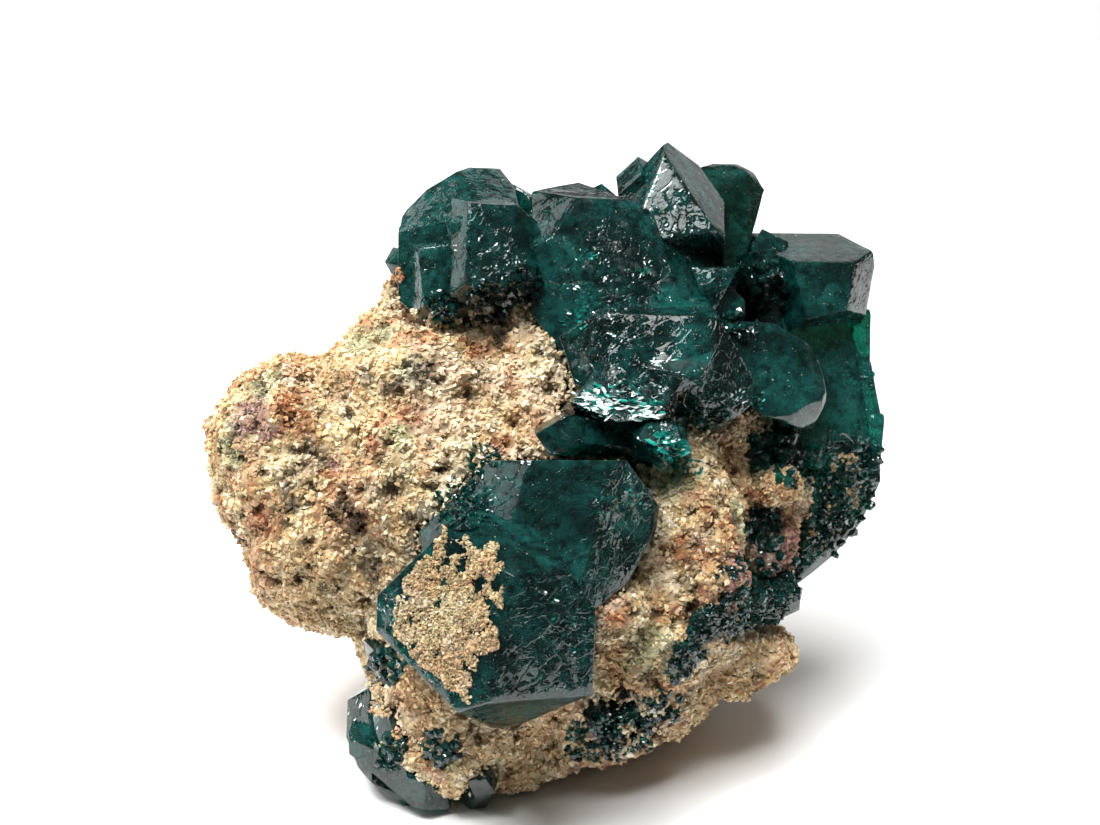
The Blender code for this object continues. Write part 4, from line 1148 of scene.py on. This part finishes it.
def show_loose_grains(ground, bodies, whole_tree, rock, rng):
    """Shows the sandy coat, the crust, the sprinkled grains and the dust."""

    def loose(name, at, sizes, **given):
        mesh = crumbs(name, at, sizes, rng)
        tone, grain = rng.random((2, len(at)))
        paint(mesh, at, [], whole_tree, **{"grain": grain, "tone": tone, "rim": 0.0, **given})
        piece(name, mesh, rock)

    body_tree = tree_of(*bodies)
    spots = coat_places(body_tree, rng)
    sizes = mostly_small(COAT_GRAIN_SIZE, COAT_GRAIN_POWER, len(spots), rng)
    sand = rng.uniform(*COAT_SAND, len(spots))
    share, amount = COAT_DARK
    dark = amount * (rng.random(len(spots)) < share)
    loose("sandy_coat", spots, sizes, sand=sand, dark=dark)

    spots = crust_places(bodies, tree_of(ground), whole_tree, rng)
    spots += crust_places([ground], body_tree, whole_tree, rng)
    sizes = rng.uniform(*CRUST_GRAIN_SIZE, len(spots))
    loose("crust", np.array(spots), sizes, rim=CRUST_PALENESS)

    kinds = {kind: [] for kind in SPRINKLE_LOOKS}
    for across, up, radius, count, kind in SPRINKLES:
        kinds[kind].append(sprinkled(whole_tree, across, up, radius, count, rng))
    for kind, groups in kinds.items():
        spots = np.vstack(groups)
        sizes = rng.uniform(*SPRINKLE_SIZE, len(spots))
        loose("sprinkled_" + kind, spots, sizes, **SPRINKLE_LOOKS[kind])

    dust = []
    for mesh in bodies:
        count = max(FEWEST_SPECKS, int(SPECK_COUNT * len(mesh.polygons) / SPECK_FACES))
        dust.append(scattered(mesh, count, rng)[0])
    spots = np.vstack(dust)
    sizes = rng.uniform(*SPECK_SIZE, len(spots))
    loose("dust_specks", spots, sizes, pale=SPECK_PALENESS)


def main():
    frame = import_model()
    nodes = frame["nodes"]
    crystals = sorted(name for name in nodes if name != "rock_matrix")
    crystal_tree = tree_of(*(nodes[name].data for name in crystals))
    rng = np.random.default_rng(SEED)
    rock = rock_material()
    glass = crystal_material("dioptase_glass", DIOPTASE_DENSITY)
    small_glass = crystal_material("dioptase_small", SMALL_DENSITY)
    fracture = fracture_material()

    ground = show_rock(nodes, crystal_tree, rock, rng)
    bodies = show_crystals(nodes, crystals, crystal_tree, glass)
    whole_tree = tree_of(ground, *bodies)
    veil = flakes("fracture_veils", veils(bodies, crystal_tree, rng), rng)
    piece("fracture_veils", veil, fracture)
    bright = flakes("fracture_glints", glints(whole_tree, rng), rng)
    piece("fracture_glints", bright, fracture)
    show_loose_grains(ground, bodies, whole_tree, rock, rng)
    small = prisms("small_crystals", *druse_places(whole_tree, rng), rng)
    attribute(small, "etched", np.full(len(small.vertices), SMALL_ETCHED))
    piece("small_crystals", small, small_glass)

    floor_sheet()
    studio()
    camera()


def floor_sheet():
    """The plain pale sheet that the specimen rests on."""
    rim = np.array([(across, deep, 0.0) for across, deep in FLOOR_OUTLINE])
    sheet = mesh_from("floor", rim, np.arange(len(rim))[None])
    n = Nodes("floor")
    n.shade(Base_Color=FLOOR_COLOUR, Roughness=FLOOR_ROUGHNESS)
    sheet.materials.append(n.material)
    holder = linked("floor", sheet)


def camera():
    """The camera at the photograph's viewing angle."""
    lens = bpy.data.cameras.new("camera")
    lens.sensor_width = 36.0
    lens.lens = 36.0 * PIXELS_PER_MM * EYE_DISTANCE / PICTURE_SIZE[0]
    lens.shift_x = (PICTURE_SIZE[0] / 2 - AIM_PIXEL[0]) / PICTURE_SIZE[0]
    lens.shift_y = (AIM_PIXEL[1] - PICTURE_SIZE[1] / 2) / PICTURE_SIZE[0]
    lens.clip_start = 0.005
    lens.clip_end = 10.0
    holder = linked("camera", lens)
    turn = Matrix((towards(1, 0, 0), towards(0, 1, 0), towards(0, 0, 1))).transposed()
    holder.matrix_world = Matrix.Translation(EYE * MM) @ turn.to_4x4()
    bpy.context.scene.camera = holder


def studio():
    """Soft lights, in a surround that shows pale but is dim in what the crystals mirror."""
    world = bpy.data.worlds.new("studio")
    world.use_nodes = True
    nodes, links = world.node_tree.nodes, world.node_tree.links
    background = nodes["Background"]
    background.inputs["Color"].default_value = (1, 1, 1, 1)
    seen = nodes.new("ShaderNodeLightPath")
    strength = nodes.new("ShaderNodeMapRange")
    strength.inputs["To Min"].default_value = SURROUND_LIGHT
    strength.inputs["To Max"].default_value = SURROUND_SEEN
    links.new(seen.outputs["Is Camera Ray"], strength.inputs["Value"])
    links.new(strength.outputs["Result"], background.inputs["Strength"])
    bpy.context.scene.world = world
    for name, place, (wide, high), power in SOFTBOXES:
        light = bpy.data.lights.new(name, "AREA")
        light.shape = "RECTANGLE"
        light.size, light.size_y = wide * MM, high * MM
        light.energy = power
        holder = linked(name, light)
        holder.location = Vector(place) * MM
        holder.rotation_mode = "QUATERNION"
        way = Vector(LIT_SPOT) * MM - holder.location
        holder.rotation_quaternion = way.to_track_quat("-Z", "Y")
        holder.visible_camera = False
        holder.visible_glossy = name not in UNMIRRORED
    bpy.context.scene.view_settings.view_transform = "Standard"


main()
